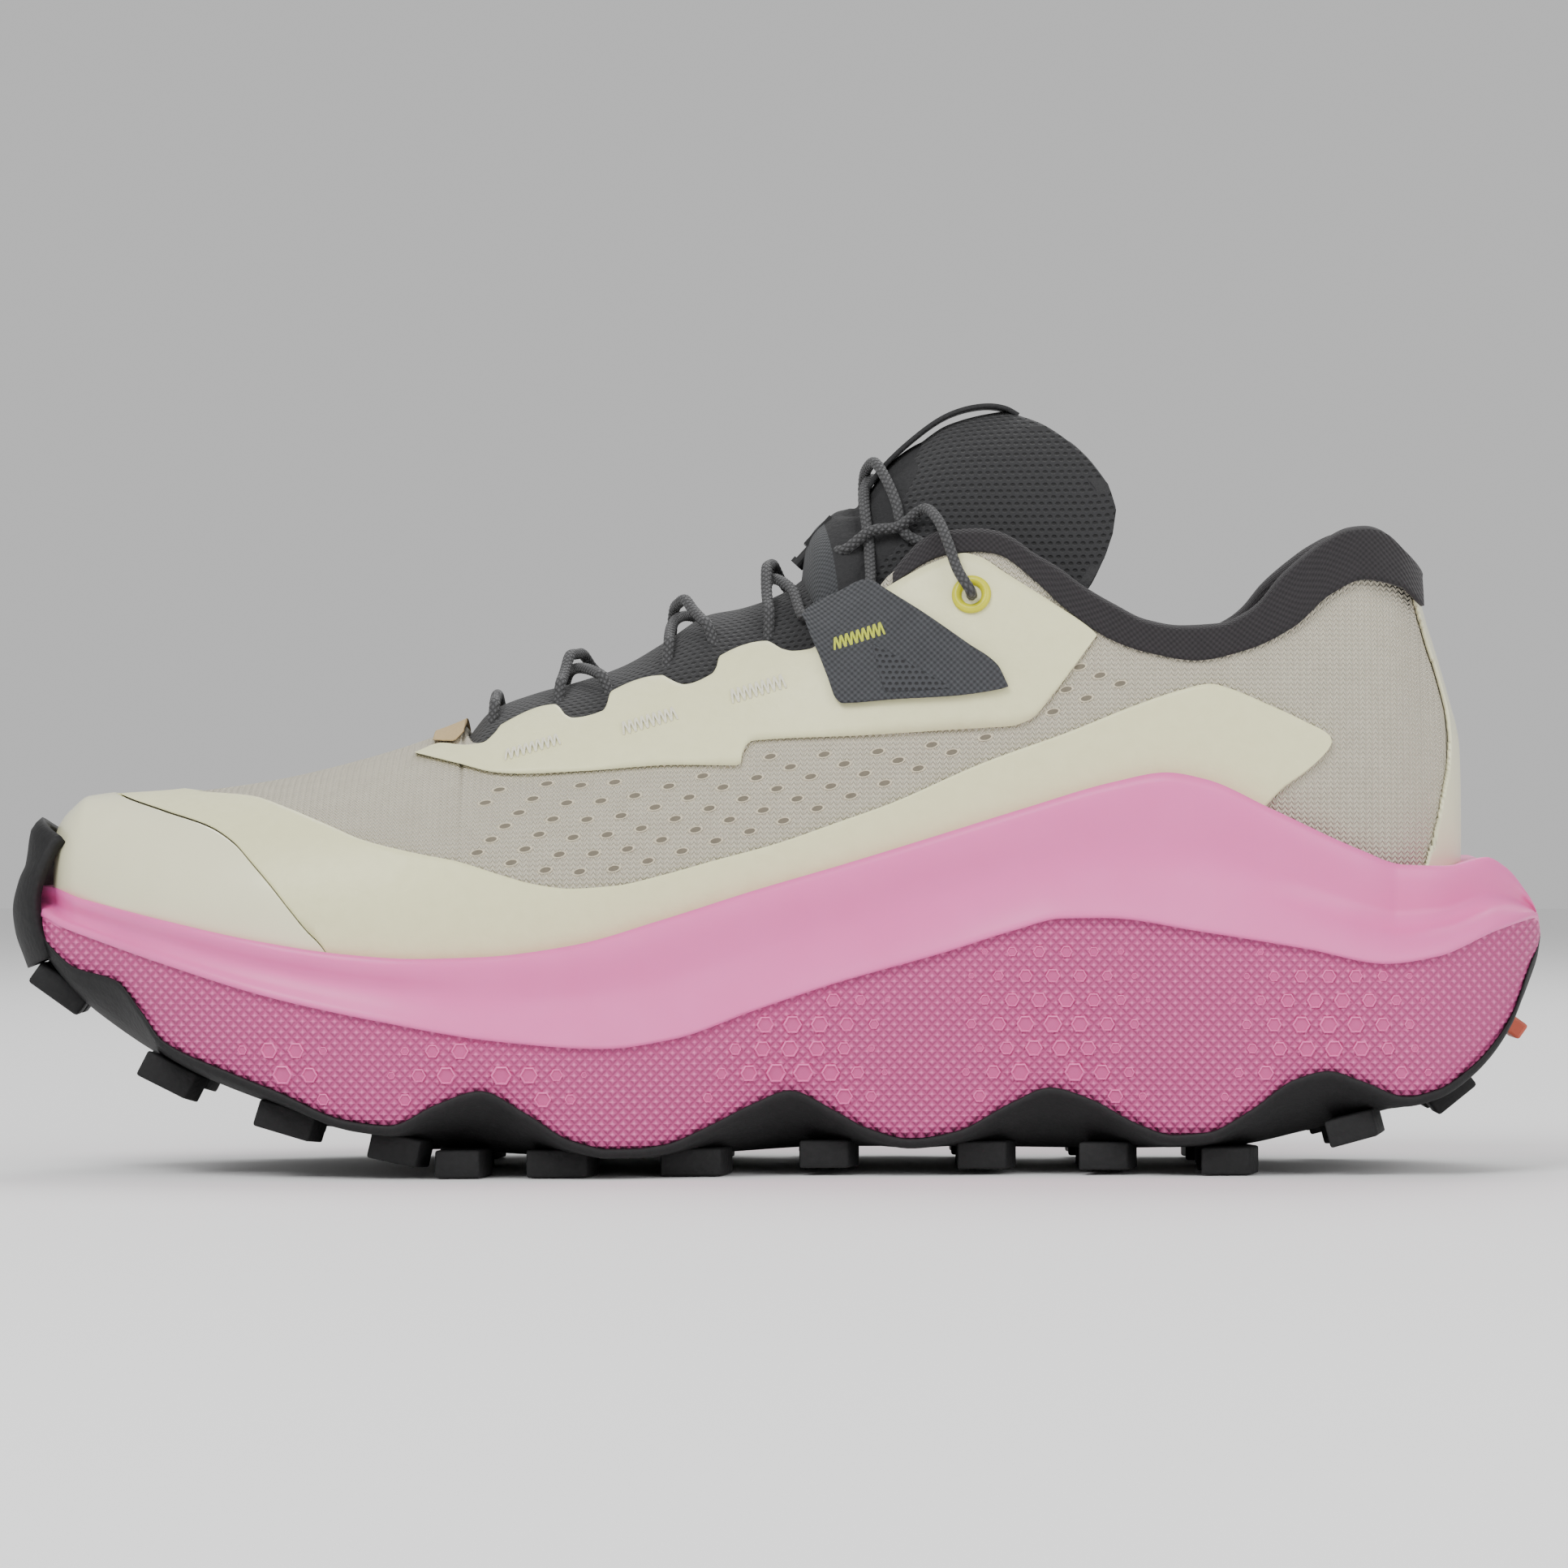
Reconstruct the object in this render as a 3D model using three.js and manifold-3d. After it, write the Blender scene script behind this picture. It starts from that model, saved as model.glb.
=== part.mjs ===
import * as THREE from 'three';
import { ParametricGeometry } from 'three/addons/geometries/ParametricGeometry.js';
import { mergeVertices } from 'three/addons/utils/BufferGeometryUtils.js';
import Module from 'manifold-3d';

const wasm = await Module();
wasm.setup();

// Driving sizes in millimetres. Toe at -X, heel at +X, medial side at -Y, ground at z = 0.
const LENGTH = 280;          // sole, toe guard to heel flare
const UPPER_RISE = 1;        // scale on the height of the upper above the sole
const GAP = 0.3;             // air between pieces that touch on the real shoe
const KNIT = 2;              // thickness of the knitted upper
const FILM = 0.6;            // thickness of the bonded films
const RUBBER = 1.8;          // thickness of the outsole web
const LACE_D = 2;            // round cord
const LUG = 3.6;             // depth of the lugs under the web
const INSOLE = 4;            // thickness of the sockliner
const EYELET_BORE = 3.6;     // hole the lace runs through
const BUTTON_TRAVEL = 2.5;   // stroke of the lace lock button
const SEAM = 0.3;            // gap between the halves of the collar lining

const SX = LENGTH / 280;
const FILM_OUT = GAP + FILM;
const GRID_U = 24;
const GRID_V = 20;

// A smooth curve through a few stations, without overshoot.
function curve(points, sx = SX, sz = 1) {
  const xs = points.map((p) => p[0] * sx);
  const zs = points.map((p) => p[1] * sz);
  const n = xs.length;
  const d = [];
  for (let i = 0; i < n - 1; i++) d.push((zs[i + 1] - zs[i]) / (xs[i + 1] - xs[i]));
  const m = xs.map((_, i) => {
    if (i === 0) return d[0];
    if (i === n - 1) return d[n - 2];
    return d[i - 1] * d[i] <= 0 ? 0 : (2 * d[i - 1] * d[i]) / (d[i - 1] + d[i]);
  });
  return (x) => {
    if (x <= xs[0]) return zs[0];
    if (x >= xs[n - 1]) return zs[n - 1];
    let i = 0;
    while (x > xs[i + 1]) i++;
    const h = xs[i + 1] - xs[i];
    const t = (x - xs[i]) / h;
    const a = 2 * t ** 3 - 3 * t ** 2 + 1;
    const b = t ** 3 - 2 * t ** 2 + t;
    const c = -2 * t ** 3 + 3 * t ** 2;
    const e = t ** 3 - t ** 2;
    return a * zs[i] + b * h * m[i] + c * zs[i + 1] + e * h * m[i + 1];
  };
}

const smooth = (a, b, x) => {
  const t = Math.min(1, Math.max(0, (x - a) / (b - a)));
  return t * t * (3 - 2 * t);
};

// Stations along the shoe: heights and half-widths of the foot-shaped volume of the upper.
const centreY = curve([[-140, -7.5], [-125, -6], [-90, -3.5], [-65, -1.5], [-45, 0.5], [-20, 3],
  [0, 4.5], [20, 4.8], [40, 4.3], [60, 3.5], [90, 1], [125, -0.5], [140, -0.5]]);
const ridge = curve([[-134, 57], [-132.5, 62.5], [-130, 65.5], [-127, 67.6], [-111, 69], [-95, 71.2],
  [-78.6, 75], [-62.4, 80.2], [-54, 83.8], [-38, 90.2], [-18, 98.4], [2, 108.5], [12, 118.5], [20, 129],
  [28, 138], [38, 146], [50, 150], [90, 151], [104, 146], [110, 134], [114, 119], [117, 103],
  [119.8, 93.7], [122.1, 85.7], [123.9, 78.6], [124.5, 71], [124.7, 64]], SX, UPPER_RISE);
const widest = curve([[-134, 53], [-110, 48], [-60, 45], [0, 50], [40, 56], [90, 60], [124.7, 62]]);
const floor = curve([[-134, 50], [-128, 44], [-118, 39], [-105, 35], [-90, 31.5], [-60, 28],
  [-30, 28.5], [0, 31.5], [40, 36.5], [80, 39.5], [105, 41], [118, 44], [124.7, 57]]);
const halfWidth = curve([[-134, 0], [-133, 7], [-130, 13.5], [-125, 19.5], [-118, 26.5], [-110, 33],
  [-100, 39], [-90, 43.5], [-78, 46.8], [-65, 48.3], [-50, 48.3], [-35, 46.5], [-20, 44], [0, 40.5],
  [20, 38], [40, 36.5], [60, 36], [85, 35.5], [100, 32.5], [110, 28], [117, 21.5], [121.5, 14.5],
  [123.7, 8], [124.7, 0]]);
const UPPER_TOE = -134 * SX;
const UPPER_HEEL = 124.7 * SX;

// Tongue: its own ridge line and width, inside the throat and the mouth.
const tongueRidge = curve([[-134, 57], [-72, 73], [-60, 77.6], [-54, 84.2], [-46, 87.4], [-38, 89.6],
  [-30, 92.4], [-22, 97], [-14, 102], [-8, 103.2], [0, 106.2], [8, 112.8], [12, 116.9], [16, 122.6],
  [20, 128.6], [25.4, 134], [30.6, 137.4], [38, 139.4], [46, 140.4], [90, 142], [112, 120],
  [124.7, 64]], SX, UPPER_RISE);

const number = (d, x) => (typeof d === 'function' ? d(x) : d);

// Point on the foot volume, moved inwards by d (outwards when negative).
function footPoint(d, under, top, slim, u, v, target) {
  const e = (1 - Math.cos(Math.PI * u)) / 2;
  const x0 = UPPER_TOE + number(d, UPPER_TOE);
  const x1 = UPPER_HEEL - number(d, UPPER_HEEL);
  const xs = UPPER_TOE + (UPPER_HEEL - UPPER_TOE) * e;
  const off = number(d, xs);
  const w = halfWidth(xs);
  const zc = widest(xs);
  const wide = Math.max(0, w - (off + slim(xs)) * Math.min(1, w / 26));
  const up = Math.max(0, top(xs) - zc - off * Math.min(1, (top(xs) - zc) / 18));
  const down = Math.max(0, zc - floor(xs) - under * Math.min(1, (zc - floor(xs)) / 8));
  const a = 2 * Math.PI * (v % 1);
  const s = Math.sin(a);
  const c = Math.cos(a);
  const side = Math.sign(s);
  const bottom = c > 0;
  const y = wide * side * Math.abs(s) ** (bottom ? 0.42 : 0.96);
  const end = u < 1e-9 || u > 1 - 1e-9 ? 0 : 1;
  const z = end * (bottom ? -down * Math.abs(c) ** 0.5 : up * Math.abs(c) ** 0.96);
  target.set(x0 + (x1 - x0) * e, centreY(xs) + y, zc + z);
}

// Closed body from a geometry: one skin, wound outwards.
function solid(geometry) {
  const bare = new THREE.BufferGeometry();
  bare.setAttribute('position', geometry.getAttribute('position').clone());
  if (geometry.index) bare.setIndex(geometry.index.clone());
  const merged = mergeVertices(bare, 1e-4);
  const p = merged.getAttribute('position').array;
  const index = merged.index.array;
  const tris = [];
  let volume = 0;
  for (let i = 0; i < index.length; i += 3) {
    const [a, b, c] = [index[i], index[i + 1], index[i + 2]];
    if (a === b || b === c || c === a) continue;
    tris.push(a, b, c);
    const A = new THREE.Vector3(p[3 * a], p[3 * a + 1], p[3 * a + 2]);
    const B = new THREE.Vector3(p[3 * b], p[3 * b + 1], p[3 * b + 2]);
    const C = new THREE.Vector3(p[3 * c], p[3 * c + 1], p[3 * c + 2]);
    volume += A.dot(B.cross(C));
  }
  if (volume < 0) tris.reverse();
  const mesh = new wasm.Mesh({
    numProp: 3,
    vertProperties: new Float32Array(p),
    triVerts: new Uint32Array(tris),
  });
  return new wasm.Manifold(mesh);
}

function toGeometry(body) {
  const m = body.getMesh();
  const geometry = new THREE.BufferGeometry();
  geometry.setAttribute('position', new THREE.BufferAttribute(new Float32Array(m.vertProperties), 3));
  geometry.setIndex(new THREE.BufferAttribute(new Uint32Array(m.triVerts), 1));
  const flat = geometry.toNonIndexed();
  flat.computeVertexNormals();
  return flat;
}

const none = () => 0;

function foot(d, under = 0) {
  const f = (u, v, t) => footPoint(d, under, ridge, none, u, v, t);
  return solid(new ParametricGeometry(f, GRID_U, GRID_V));
}

const tongueSlim = (x) => 3.5 + 6 * smooth(8 * SX, 22 * SX, x);

function tongueVolume(d) {
  const f = (u, v, t) => footPoint(d, 2, tongueRidge, tongueSlim, u, v, t);
  return solid(new ParametricGeometry(f, GRID_U, GRID_V));
}

// Upright prism across the shoe from a side outline (x, z).
function prism(outline, y0 = -90, y1 = 90) {
  const shape = new THREE.Shape(outline.map(([x, z]) => new THREE.Vector2(x * SX, z)));
  const geometry = new THREE.ExtrudeGeometry(shape, { depth: y1 - y0, bevelEnabled: false });
  geometry.rotateX(Math.PI / 2);
  geometry.translate(0, y1, 0);
  return solid(geometry);
}

const MEDIAL = [-90, 3];
const LATERAL = [3, 90];

// Layer of the upper between two depths, trimmed to a side outline.
function layer(outer, inner, outline, side = [-90, 90], under = -0.2) {
  const shell = foot(outer, under).subtract(foot(inner, under < 0 ? under / 2 : under + 1));
  return shell.intersect(prism(outline, side[0], side[1]));
}

// Half-width of the foot volume at a height.
function sideY(d, x, z, side) {
  const g = (z - widest(x)) / (ridge(x) - d - widest(x));
  return centreY(x) + side * (halfWidth(x) - d) * Math.sqrt(Math.max(0, 1 - g * g));
}

// Height of the tongue surface at a point of the plan.
function tongueZ(d, x, y) {
  const w = halfWidth(x) - d - tongueSlim(x);
  const r = Math.min(0.97, Math.abs(y - centreY(x)) / w);
  return widest(x) + (tongueRidge(x) - d - widest(x)) * Math.sqrt(1 - r * r);
}

// Sole stations.
const rim = curve([[-140, 46.5], [-137.5, 51.8], [-135.5, 52], [-127.4, 49.8], [-111, 46], [-95, 42.7],
  [-78.6, 40.3], [-66, 39.5], [-54, 39.8], [-38, 41.8], [-22, 46.3], [-5.5, 51.5], [11, 56.3],
  [27, 61.2], [43, 66.2], [60, 71.2], [69, 72.8], [76, 71.6], [88, 66.2], [104, 58.9], [112.3, 56.1],
  [120, 55.9], [128, 57.4], [132, 55.5], [136.2, 51.2], [138.6, 47.6], [140, 43.6]]);
const lip = curve([[-140, 46], [-137, 46.8], [-130.6, 44.5], [-111, 38.3], [-92, 32.8], [-72.8, 28.7],
  [-51, 25], [-32, 23.6], [-20, 25.2], [-5.5, 30.2], [9, 35], [29, 40.6], [42, 44.7], [50, 46.7],
  [58, 46.8], [75, 44.4], [94, 41.3], [108.5, 38.6], [118, 39.9], [130, 44.6], [138, 46.4],
  [140, 43.3]]);
const wave = curve([[-140, 45.6], [-137, 44.6], [-133.9, 41.2], [-129, 37.4], [-121, 35.2], [-116, 29.7],
  [-112, 24.6], [-99, 18.9], [-90.8, 15.8], [-78, 10.6], [-70.5, 9.8], [-62, 13.6], [-54.3, 16],
  [-46, 11.9], [-38, 7], [-29.9, 5.2], [-21.8, 6], [-13.6, 9.3], [-5.5, 13.3], [1, 15.6], [9, 12],
  [14.8, 8.8], [22.9, 6.7], [31, 8], [41, 13.2], [48, 16], [55.4, 13.9], [63.5, 9.6], [70, 7.5],
  [76, 7.9], [84, 12], [92, 17.6], [98, 19.1], [104, 17.3], [112.3, 14.4], [118, 15.6],
  [124.5, 19.6], [128.5, 23.4], [132.6, 29], [136.7, 38.2], [140, 42.9]]);
const web = curve([[-140, 44.8], [-137, 42], [-132, 36.6], [-125, 30.5], [-110, 21.4], [-89, 13.4],
  [-69, 8.4], [-56, 6], [-40, 5.2], [-16, 5.3], [8, 6.4], [37, 6.3], [59, 6.1], [81, 6.6], [95, 9.4],
  [109, 13], [120, 16], [128, 22], [134, 30.5], [138, 38], [140, 42.4]]);
const soleWidth = curve([[-138.6, 0], [-137.6, 7], [-134, 14.5], [-125, 23], [-110, 37], [-90, 47.3],
  [-65, 53], [-45, 53.8], [-20, 49.8], [0, 45.8], [20, 43], [40, 41.4], [60, 41.6], [90, 42.6],
  [115, 38.8], [125, 33], [133, 24.5], [138, 13.5], [140, 0]]);
const SOLE_TOE = -138.6 * SX;
const SOLE_HEEL = 140 * SX;
const RIM_OUT = 3.4;

// Half section of the foam, from the middle of the underside round to the middle of the top.
function soleSection(x) {
  const w = soleWidth(x);
  const k = Math.min(1, w / 20);
  const zw = web(x);
  const ze = Math.max(zw + 0.2 * k, wave(x));
  const zl = Math.max(ze + 0.6 * k, lip(x));
  const zt = Math.max(zl + 0.6 * k, rim(x));
  const inside = x > UPPER_TOE && x < UPPER_HEEL;
  const g = Math.min(1, Math.max(0, (zt - widest(x)) / (ridge(x) - widest(x))));
  const hug = inside ? halfWidth(x) * Math.sqrt(1 - g * g) + RIM_OUT : 0;
  const top = Math.min(w - 1.2 * k, Math.max(hug, w - 9 * k));
  const scoop = Math.min(w - 1.8 * k, top + 1.6 * k * smooth(0, 14, zt - zl) - 1.4 * k);
  return [
    [0, zw],
    [0.55 * w, zw],
    [0.76 * w, zw + 0.3 * (ze - zw)],
    [0.9 * w, zw + 0.75 * (ze - zw)],
    [w - 1.4 * k, ze],
    [w - 0.3 * k, ze + 0.45 * (zl - ze)],
    [w, zl - 0.5 * k],
    [w - 1.3 * k, zl + 0.5 * k],
    [scoop, zl + 0.45 * (zt - zl)],
    [top + 0.5 * k, zl + 0.8 * (zt - zl)],
    [top, zt],
    [0, zt],
  ];
}

// Loft of mirrored half sections along the sole; grow pushes the sides out.
function soleLoft(section, count, grow, stations) {
  const rows = 2 * (count - 1);
  const f = (u, v, t) => {
    const e = 0.35 * (1 - Math.cos(Math.PI * u)) / 2 + 0.65 * u;
    const x = SOLE_TOE + (SOLE_HEEL - SOLE_TOE) * e;
    const k = Math.round(v * rows) % rows;
    const half = section(x);
    const [y, z] = k < count ? half[k] : half[rows - k];
    const side = k < count ? 1 : -1;
    const end = u < 1e-9 || u > 1 - 1e-9;
    const wide = end || k === 0 || k === count - 1 ? 0 : y + grow;
    const stretch = 1 + (2 * grow) / LENGTH;
    t.set(x * stretch, centreY(x) + side * wide, end ? section(x)[4][1] : z);
  };
  return solid(new ParametricGeometry(f, stations, rows));
}

const midsoleOuter = () => soleLoft(soleSection, 12, 0, 38);

function midsole() {
  return midsoleOuter().subtract(foot(-FILM_OUT - 0.5, -0.2 - GAP));
}

// Rubber web following the scalloped underside of the foam.
function webSection(x) {
  const h = soleSection(x);
  const t = RUBBER * Math.min(1, soleWidth(x) / 20);
  const g = GAP * Math.min(1, soleWidth(x) / 20);
  return [
    [0, h[0][1] - g - t],
    [h[1][0], h[1][1] - g - t],
    [h[2][0], h[2][1] - g - t],
    [h[3][0] + 0.5, h[3][1] - g - t],
    [h[4][0] + 0.6, h[4][1] - g - t * 0.9],
    [h[4][0] + 0.3, h[4][1] - g],
    [h[3][0], h[3][1] - g],
    [h[2][0], h[2][1] - g],
    [h[1][0], h[1][1] - g],
    [0, h[0][1] - g],
  ];
}

// Lugs: station, length along the sole, height of the bottom at that station.
const LUG_ROWS = [[-111.8, 12, 15.5], [-89.5, 12.5, 7.6], [-69.5, 11, 2.6], [-57.6, 10, 0], [-39.8, 13, 0],
  [-15.8, 13, 0], [8.2, 11, 1.2], [36.8, 11, 0.9], [58.8, 11, 0.8], [80.8, 11, 0], [104, 11, 6.2]];

function lugAt(x, z, length, width, y, slope) {
  const half = length / 2;
  const shape = new THREE.Shape();
  shape.moveTo(-half, -width / 2);
  shape.lineTo(half - 2, -width / 2 + 1);
  shape.lineTo(half, 0);
  shape.lineTo(half - 2, width / 2 - 1);
  shape.lineTo(-half, width / 2);
  shape.lineTo(-half + 2.2, 0);
  const geometry = new THREE.ExtrudeGeometry(shape, { depth: LUG + 1.4, bevelEnabled: false });
  geometry.rotateY(-slope);
  geometry.translate(x * SX, y, z);
  return solid(geometry);
}

function lugs() {
  const all = [];
  for (const [x, length, z] of LUG_ROWS) {
    const w = soleWidth(x * SX);
    const slope = Math.atan2(web(x * SX + 5) - web(x * SX - 5), 10);
    const tilt = z < 1.5 ? 0 : slope;
    for (const side of [-1, 1]) {
      all.push(lugAt(x, z, length, 0.42 * w, centreY(x * SX) + side * 0.66 * w, tilt));
    }
    if (x > -105 && x < 100) all.push(lugAt(x, z, length * 0.8, 0.34 * w, centreY(x * SX), tilt));
  }
  return all;
}

function toeLug(side) {
  const geometry = new THREE.BoxGeometry(11, 9, 4.5);
  geometry.rotateY(0.62);
  geometry.translate(-132.6 * SX, centreY(-132 * SX) + side * 6.2, 33.2);
  return solid(geometry);
}

function heelLug(side) {
  const geometry = new THREE.BoxGeometry(9, 12, 4.4);
  geometry.rotateY(-0.68);
  geometry.translate(121.8 * SX, side * 13 - 0.5, 14.6);
  return solid(geometry);
}

// Rubber that climbs over the front of the toe.
function toeGuard() {
  const body = (grow, off) => soleLoft(soleSection, 12, grow, 38).add(foot(-off, -off));
  const skin = body(1.4, 3.1).subtract(body(GAP, 1.5));
  const window = new THREE.BoxGeometry(14, 26, 27);
  window.translate(-134 * SX, centreY(-132 * SX), 49.5);
  return skin.intersect(solid(window));
}

function outsole() {
  let body = soleLoft(webSection, 10, 0, 38);
  for (const lug of lugs()) body = body.add(lug);
  for (const side of [-1, 1]) body = body.add(toeLug(side)).add(heelLug(side));
  body = body.add(toeGuard());
  const foam = soleLoft(soleSection, 12, GAP - 0.05, 38);
  const clear = foam.add(foam.translate(0, 0, 0.05 - GAP)).add(foot(-1.4, -1.4));
  const ground = new THREE.BoxGeometry(400, 200, 20);
  ground.translate(0, 0, -10);
  return body.subtract(clear).subtract(solid(ground));
}

function heelColourLug() {
  const geometry = new THREE.BoxGeometry(3.2, 16, 4);
  geometry.rotateY(-0.95);
  geometry.translate(134.3 * SX, -0.5, 26);
  return solid(geometry).subtract(soleLoft(webSection, 10, 0.4, 38));
}

// Heights followed by trim lines.
const stations = (from, to, step) => {
  const list = [];
  for (let x = from; x < to; x += step) list.push(x);
  list.push(to);
  return list;
};
const line = (f, lift, from, to, step = 8) => stations(from, to, step).map((x) => [x, f(x * SX) + lift]);
const under = (f, lift) => [...line(f, lift, -150, 150, 10), [150, -5], [-150, -5]];
const above = (f, lift) => [...line(f, lift, -150, 150, 10), [150, 200], [-150, 200]];

// Outline lines of the upper seen from the side (x, z).
const THROAT = [[-58.5, 82], [-57.4, 78.4], [-52, 77.8], [-46, 79.4], [-38, 82.2], [-33, 83.4], [-22, 86.7],
  [-18, 88.2], [-12, 90], [-3, 92.9], [1.6, 94.3], [5, 95.4], [15, 103.2], [19, 108.6]];
const COLLAR_LOW = [[19, 108.6], [29.7, 114.8], [35, 115.3], [38.7, 114.8], [45.3, 110.1], [50.9, 104.9],
  [59.3, 99.1], [65.7, 96.8], [74.6, 95.3], [83.4, 97.1], [92.3, 101.3], [99.4, 107.4], [105.6, 110.1],
  [112.7, 108.8], [130, 100]];
const COLLAR_TOP = [[28.3, 116.8], [35.4, 117.3], [41.6, 115.6], [49.8, 110.2], [54.6, 106.6], [60.2, 103.3],
  [65.7, 100.6], [72, 99.5], [79.1, 99.9], [86.2, 103.8], [90.1, 108.5], [94.6, 112.5], [98.9, 115.6],
  [103, 117.5], [106.5, 117.9], [109.7, 117.2], [113.2, 114.3], [116.4, 111.4], [119, 108.4]];
const FILM_TOP = [[-110.3, 76], [-110.3, 69.8], [-96.8, 68.5], [-89.7, 66.3], [-75.2, 60.5], [-59, 56.9],
  [-44.7, 52.7], [-38.4, 51.9], [-30.3, 52.4], [-13.2, 56.7], [9.9, 63.8], [19.4, 67.2], [35.8, 74.4],
  [51.8, 80.2], [63.8, 85], [77.2, 88.8], [87.9, 84.9], [98.8, 79.6], [98.5, 76.9], [90.1, 69.8],
  [86.5, 64]];
const CAP_REAR = [[-123.3, 76], [-123.3, 69.2], [-113.2, 65.7], [-104, 62.8], [-99.2, 59.9], [-95.5, 56.1],
  [-88.6, 48], [-82.4, 41.6], [-80, 36]];
const EYESTAY = [[-67.3, 76.5], [-61, 77.6], [-57.4, 77.9], [-54.7, 78.2], [-51.5, 81.5], [-41.6, 85.2],
  [-38.4, 82.7], [-32.9, 84], [-31.6, 87.5], [-22.2, 90.5], [-18.3, 88.8], [-13.2, 90.7], [-11.8, 94],
  [-3.2, 96.8], [-0.3, 95.3], [4.9, 95.5], [18.4, 106.3], [29, 111.7], [32.8, 112.7], [40, 109.2],
  [49, 103.4], [56.7, 97.6], [49, 87.2], [43.2, 81.7], [14.8, 79.5], [-6.2, 78.5], [-8, 74],
  [-36.1, 73], [-51.6, 72.7], [-59, 74.4]];
const WING = [[3.2, 101], [15.4, 106.4], [25.4, 101.8], [38.6, 92.4], [40.9, 88.5], [30.6, 86.6],
  [10.6, 85.3], [8, 90.8]];
const HEEL_STRIP = [[116.4, 104.6], [119, 95.6], [121.1, 89.8], [122.7, 84], [122.9, 79.5], [120.7, 67.6],
  [117.4, 52], [140, 52], [140, 104.6]];
const FOLD = [[17.2, 128.4], [52, 101.8]];

// Hole for the eyelets, square to the side of the upper.
const EYELET = { x: 34.2, z: 104.7 };

function outward(x, z, side) {
  const dx = sideY(0, x + 1, z, side) - sideY(0, x - 1, z, side);
  const dz = sideY(0, x, z + 1, side) - sideY(0, x, z - 1, side);
  return new THREE.Vector3(-dx / 2, 1, -dz / 2).normalize().multiplyScalar(side);
}

function eyeletFrame(geometry, side, out) {
  const x = EYELET.x * SX;
  const up = new THREE.Vector3(0, 1, 0);
  geometry.translate(0, out, 0);
  geometry.applyQuaternion(new THREE.Quaternion().setFromUnitVectors(up, outward(x, EYELET.z, side)));
  geometry.translate(x, sideY(0, x, EYELET.z, side), EYELET.z);
  return geometry;
}

function eyeletBore(radius) {
  const cut = (side) => solid(eyeletFrame(new THREE.CylinderGeometry(radius, radius, 24, 16), side, 0));
  return cut(-1).add(cut(1));
}

function eyelet(side) {
  const r = EYELET_BORE / 2;
  const out = FILM_OUT + GAP + 0.2;
  const profile = [[r, -KNIT - 1], [r + 0.5, -KNIT - 1], [r + 0.5, out], [3.6, out], [3.6, out + 0.5],
    [2.7, out + 1], [r, out + 0.8], [r, -KNIT - 1]];
  const points = profile.map(([a, b]) => new THREE.Vector2(a, b));
  return solid(eyeletFrame(new THREE.LatheGeometry(points, 20), side, 0));
}

function upperKnit() {
  const body = foot(0, 0).subtract(foot(KNIT, 1.5));
  const opening = prism([...THROAT, ...COLLAR_LOW.slice(1), [130, 200], [-58.5, 200]].map(([x, z]) => [x, z - 0.2]));
  const pan = prism(under(floor, 3.5));
  return body.subtract(opening).subtract(pan).subtract(eyeletBore(EYELET_BORE / 2 + 0.8));
}

function strobelBoard() {
  return foot(0, 0).subtract(foot(KNIT, 1.5)).intersect(prism(under(floor, 3.2)));
}

function insole() {
  const cup = foot(6.2, 1.5 + GAP).subtract(foot(8.6, 1.5 + GAP + INSOLE));
  const cupHeight = (x) => floor(x) + 7 + 4 * smooth(-50 * SX, 50 * SX, x);
  return cup.intersect(prism(under(cupHeight, 0)));
}

function toeCap() {
  return layer(-GAP - 0.8, -GAP, [...CAP_REAR, ...line(rim, -4, -150, -82, 8).reverse(), [-150, 76]]);
}

function toePuff() {
  const edge = [[-108, 76], [-112, 62], [-108, 51]];
  return layer(KNIT + GAP, KNIT + GAP + 0.8, [...edge, [-140, 51], [-140, 76]], [-90, 90], 3);
}

function sideFilm() {
  const front = CAP_REAR.map(([x, z]) => [x + 0.4, z]);
  const low = line(rim, -4, -80, 86, 10).reverse();
  const outline = [...FILM_TOP, ...low, ...front.slice(0, -1).reverse()];
  return layer(-FILM_OUT, -GAP, outline);
}

function eyestayFilm(side) {
  const body = layer(-FILM_OUT, -GAP, EYESTAY, side);
  return body.subtract(eyeletBore(EYELET_BORE / 2 + 0.8));
}

function throatPatch() {
  return layer(-FILM_OUT, -GAP, [[-64.6, 78.6], [-60.4, 78.4], [-58, 81], [-58, 90], [-64.6, 90]]);
}

function heelStrip() {
  return layer(-FILM_OUT, -GAP, HEEL_STRIP);
}

// Depth of the collar padding: thin beside the tongue, full behind it.
const padDepth = (x) => 3.6 + 4.4 * smooth(46 * SX, 78 * SX, x);

function heelCounter() {
  const outline = [[140, 49], [140, 84], [112, 82], [92, 72], [78, 58], [74, 50]];
  return layer(KNIT + GAP, KNIT + GAP + 1, outline, [-90, 90], 3);
}

function heelLining() {
  const outline = [[140, 52], [140, 83], [112, 81], [90, 79], [74, 77], [70, 56]];
  const d = KNIT + 2 * GAP + 1;
  return layer(d, d + 0.7, outline, [-90, 90], 3.5);
}

function collarFoam() {
  const low = [[54, 90], [66, 86.5], [90, 85.5], [128, 85]];
  const top = COLLAR_LOW.slice(5).map(([x, z]) => [x, z - 0.9]).reverse();
  const d = KNIT + GAP;
  return layer(d, (x) => padDepth(x) - 1, [...low, ...top], [-90, 90], 3);
}

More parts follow.
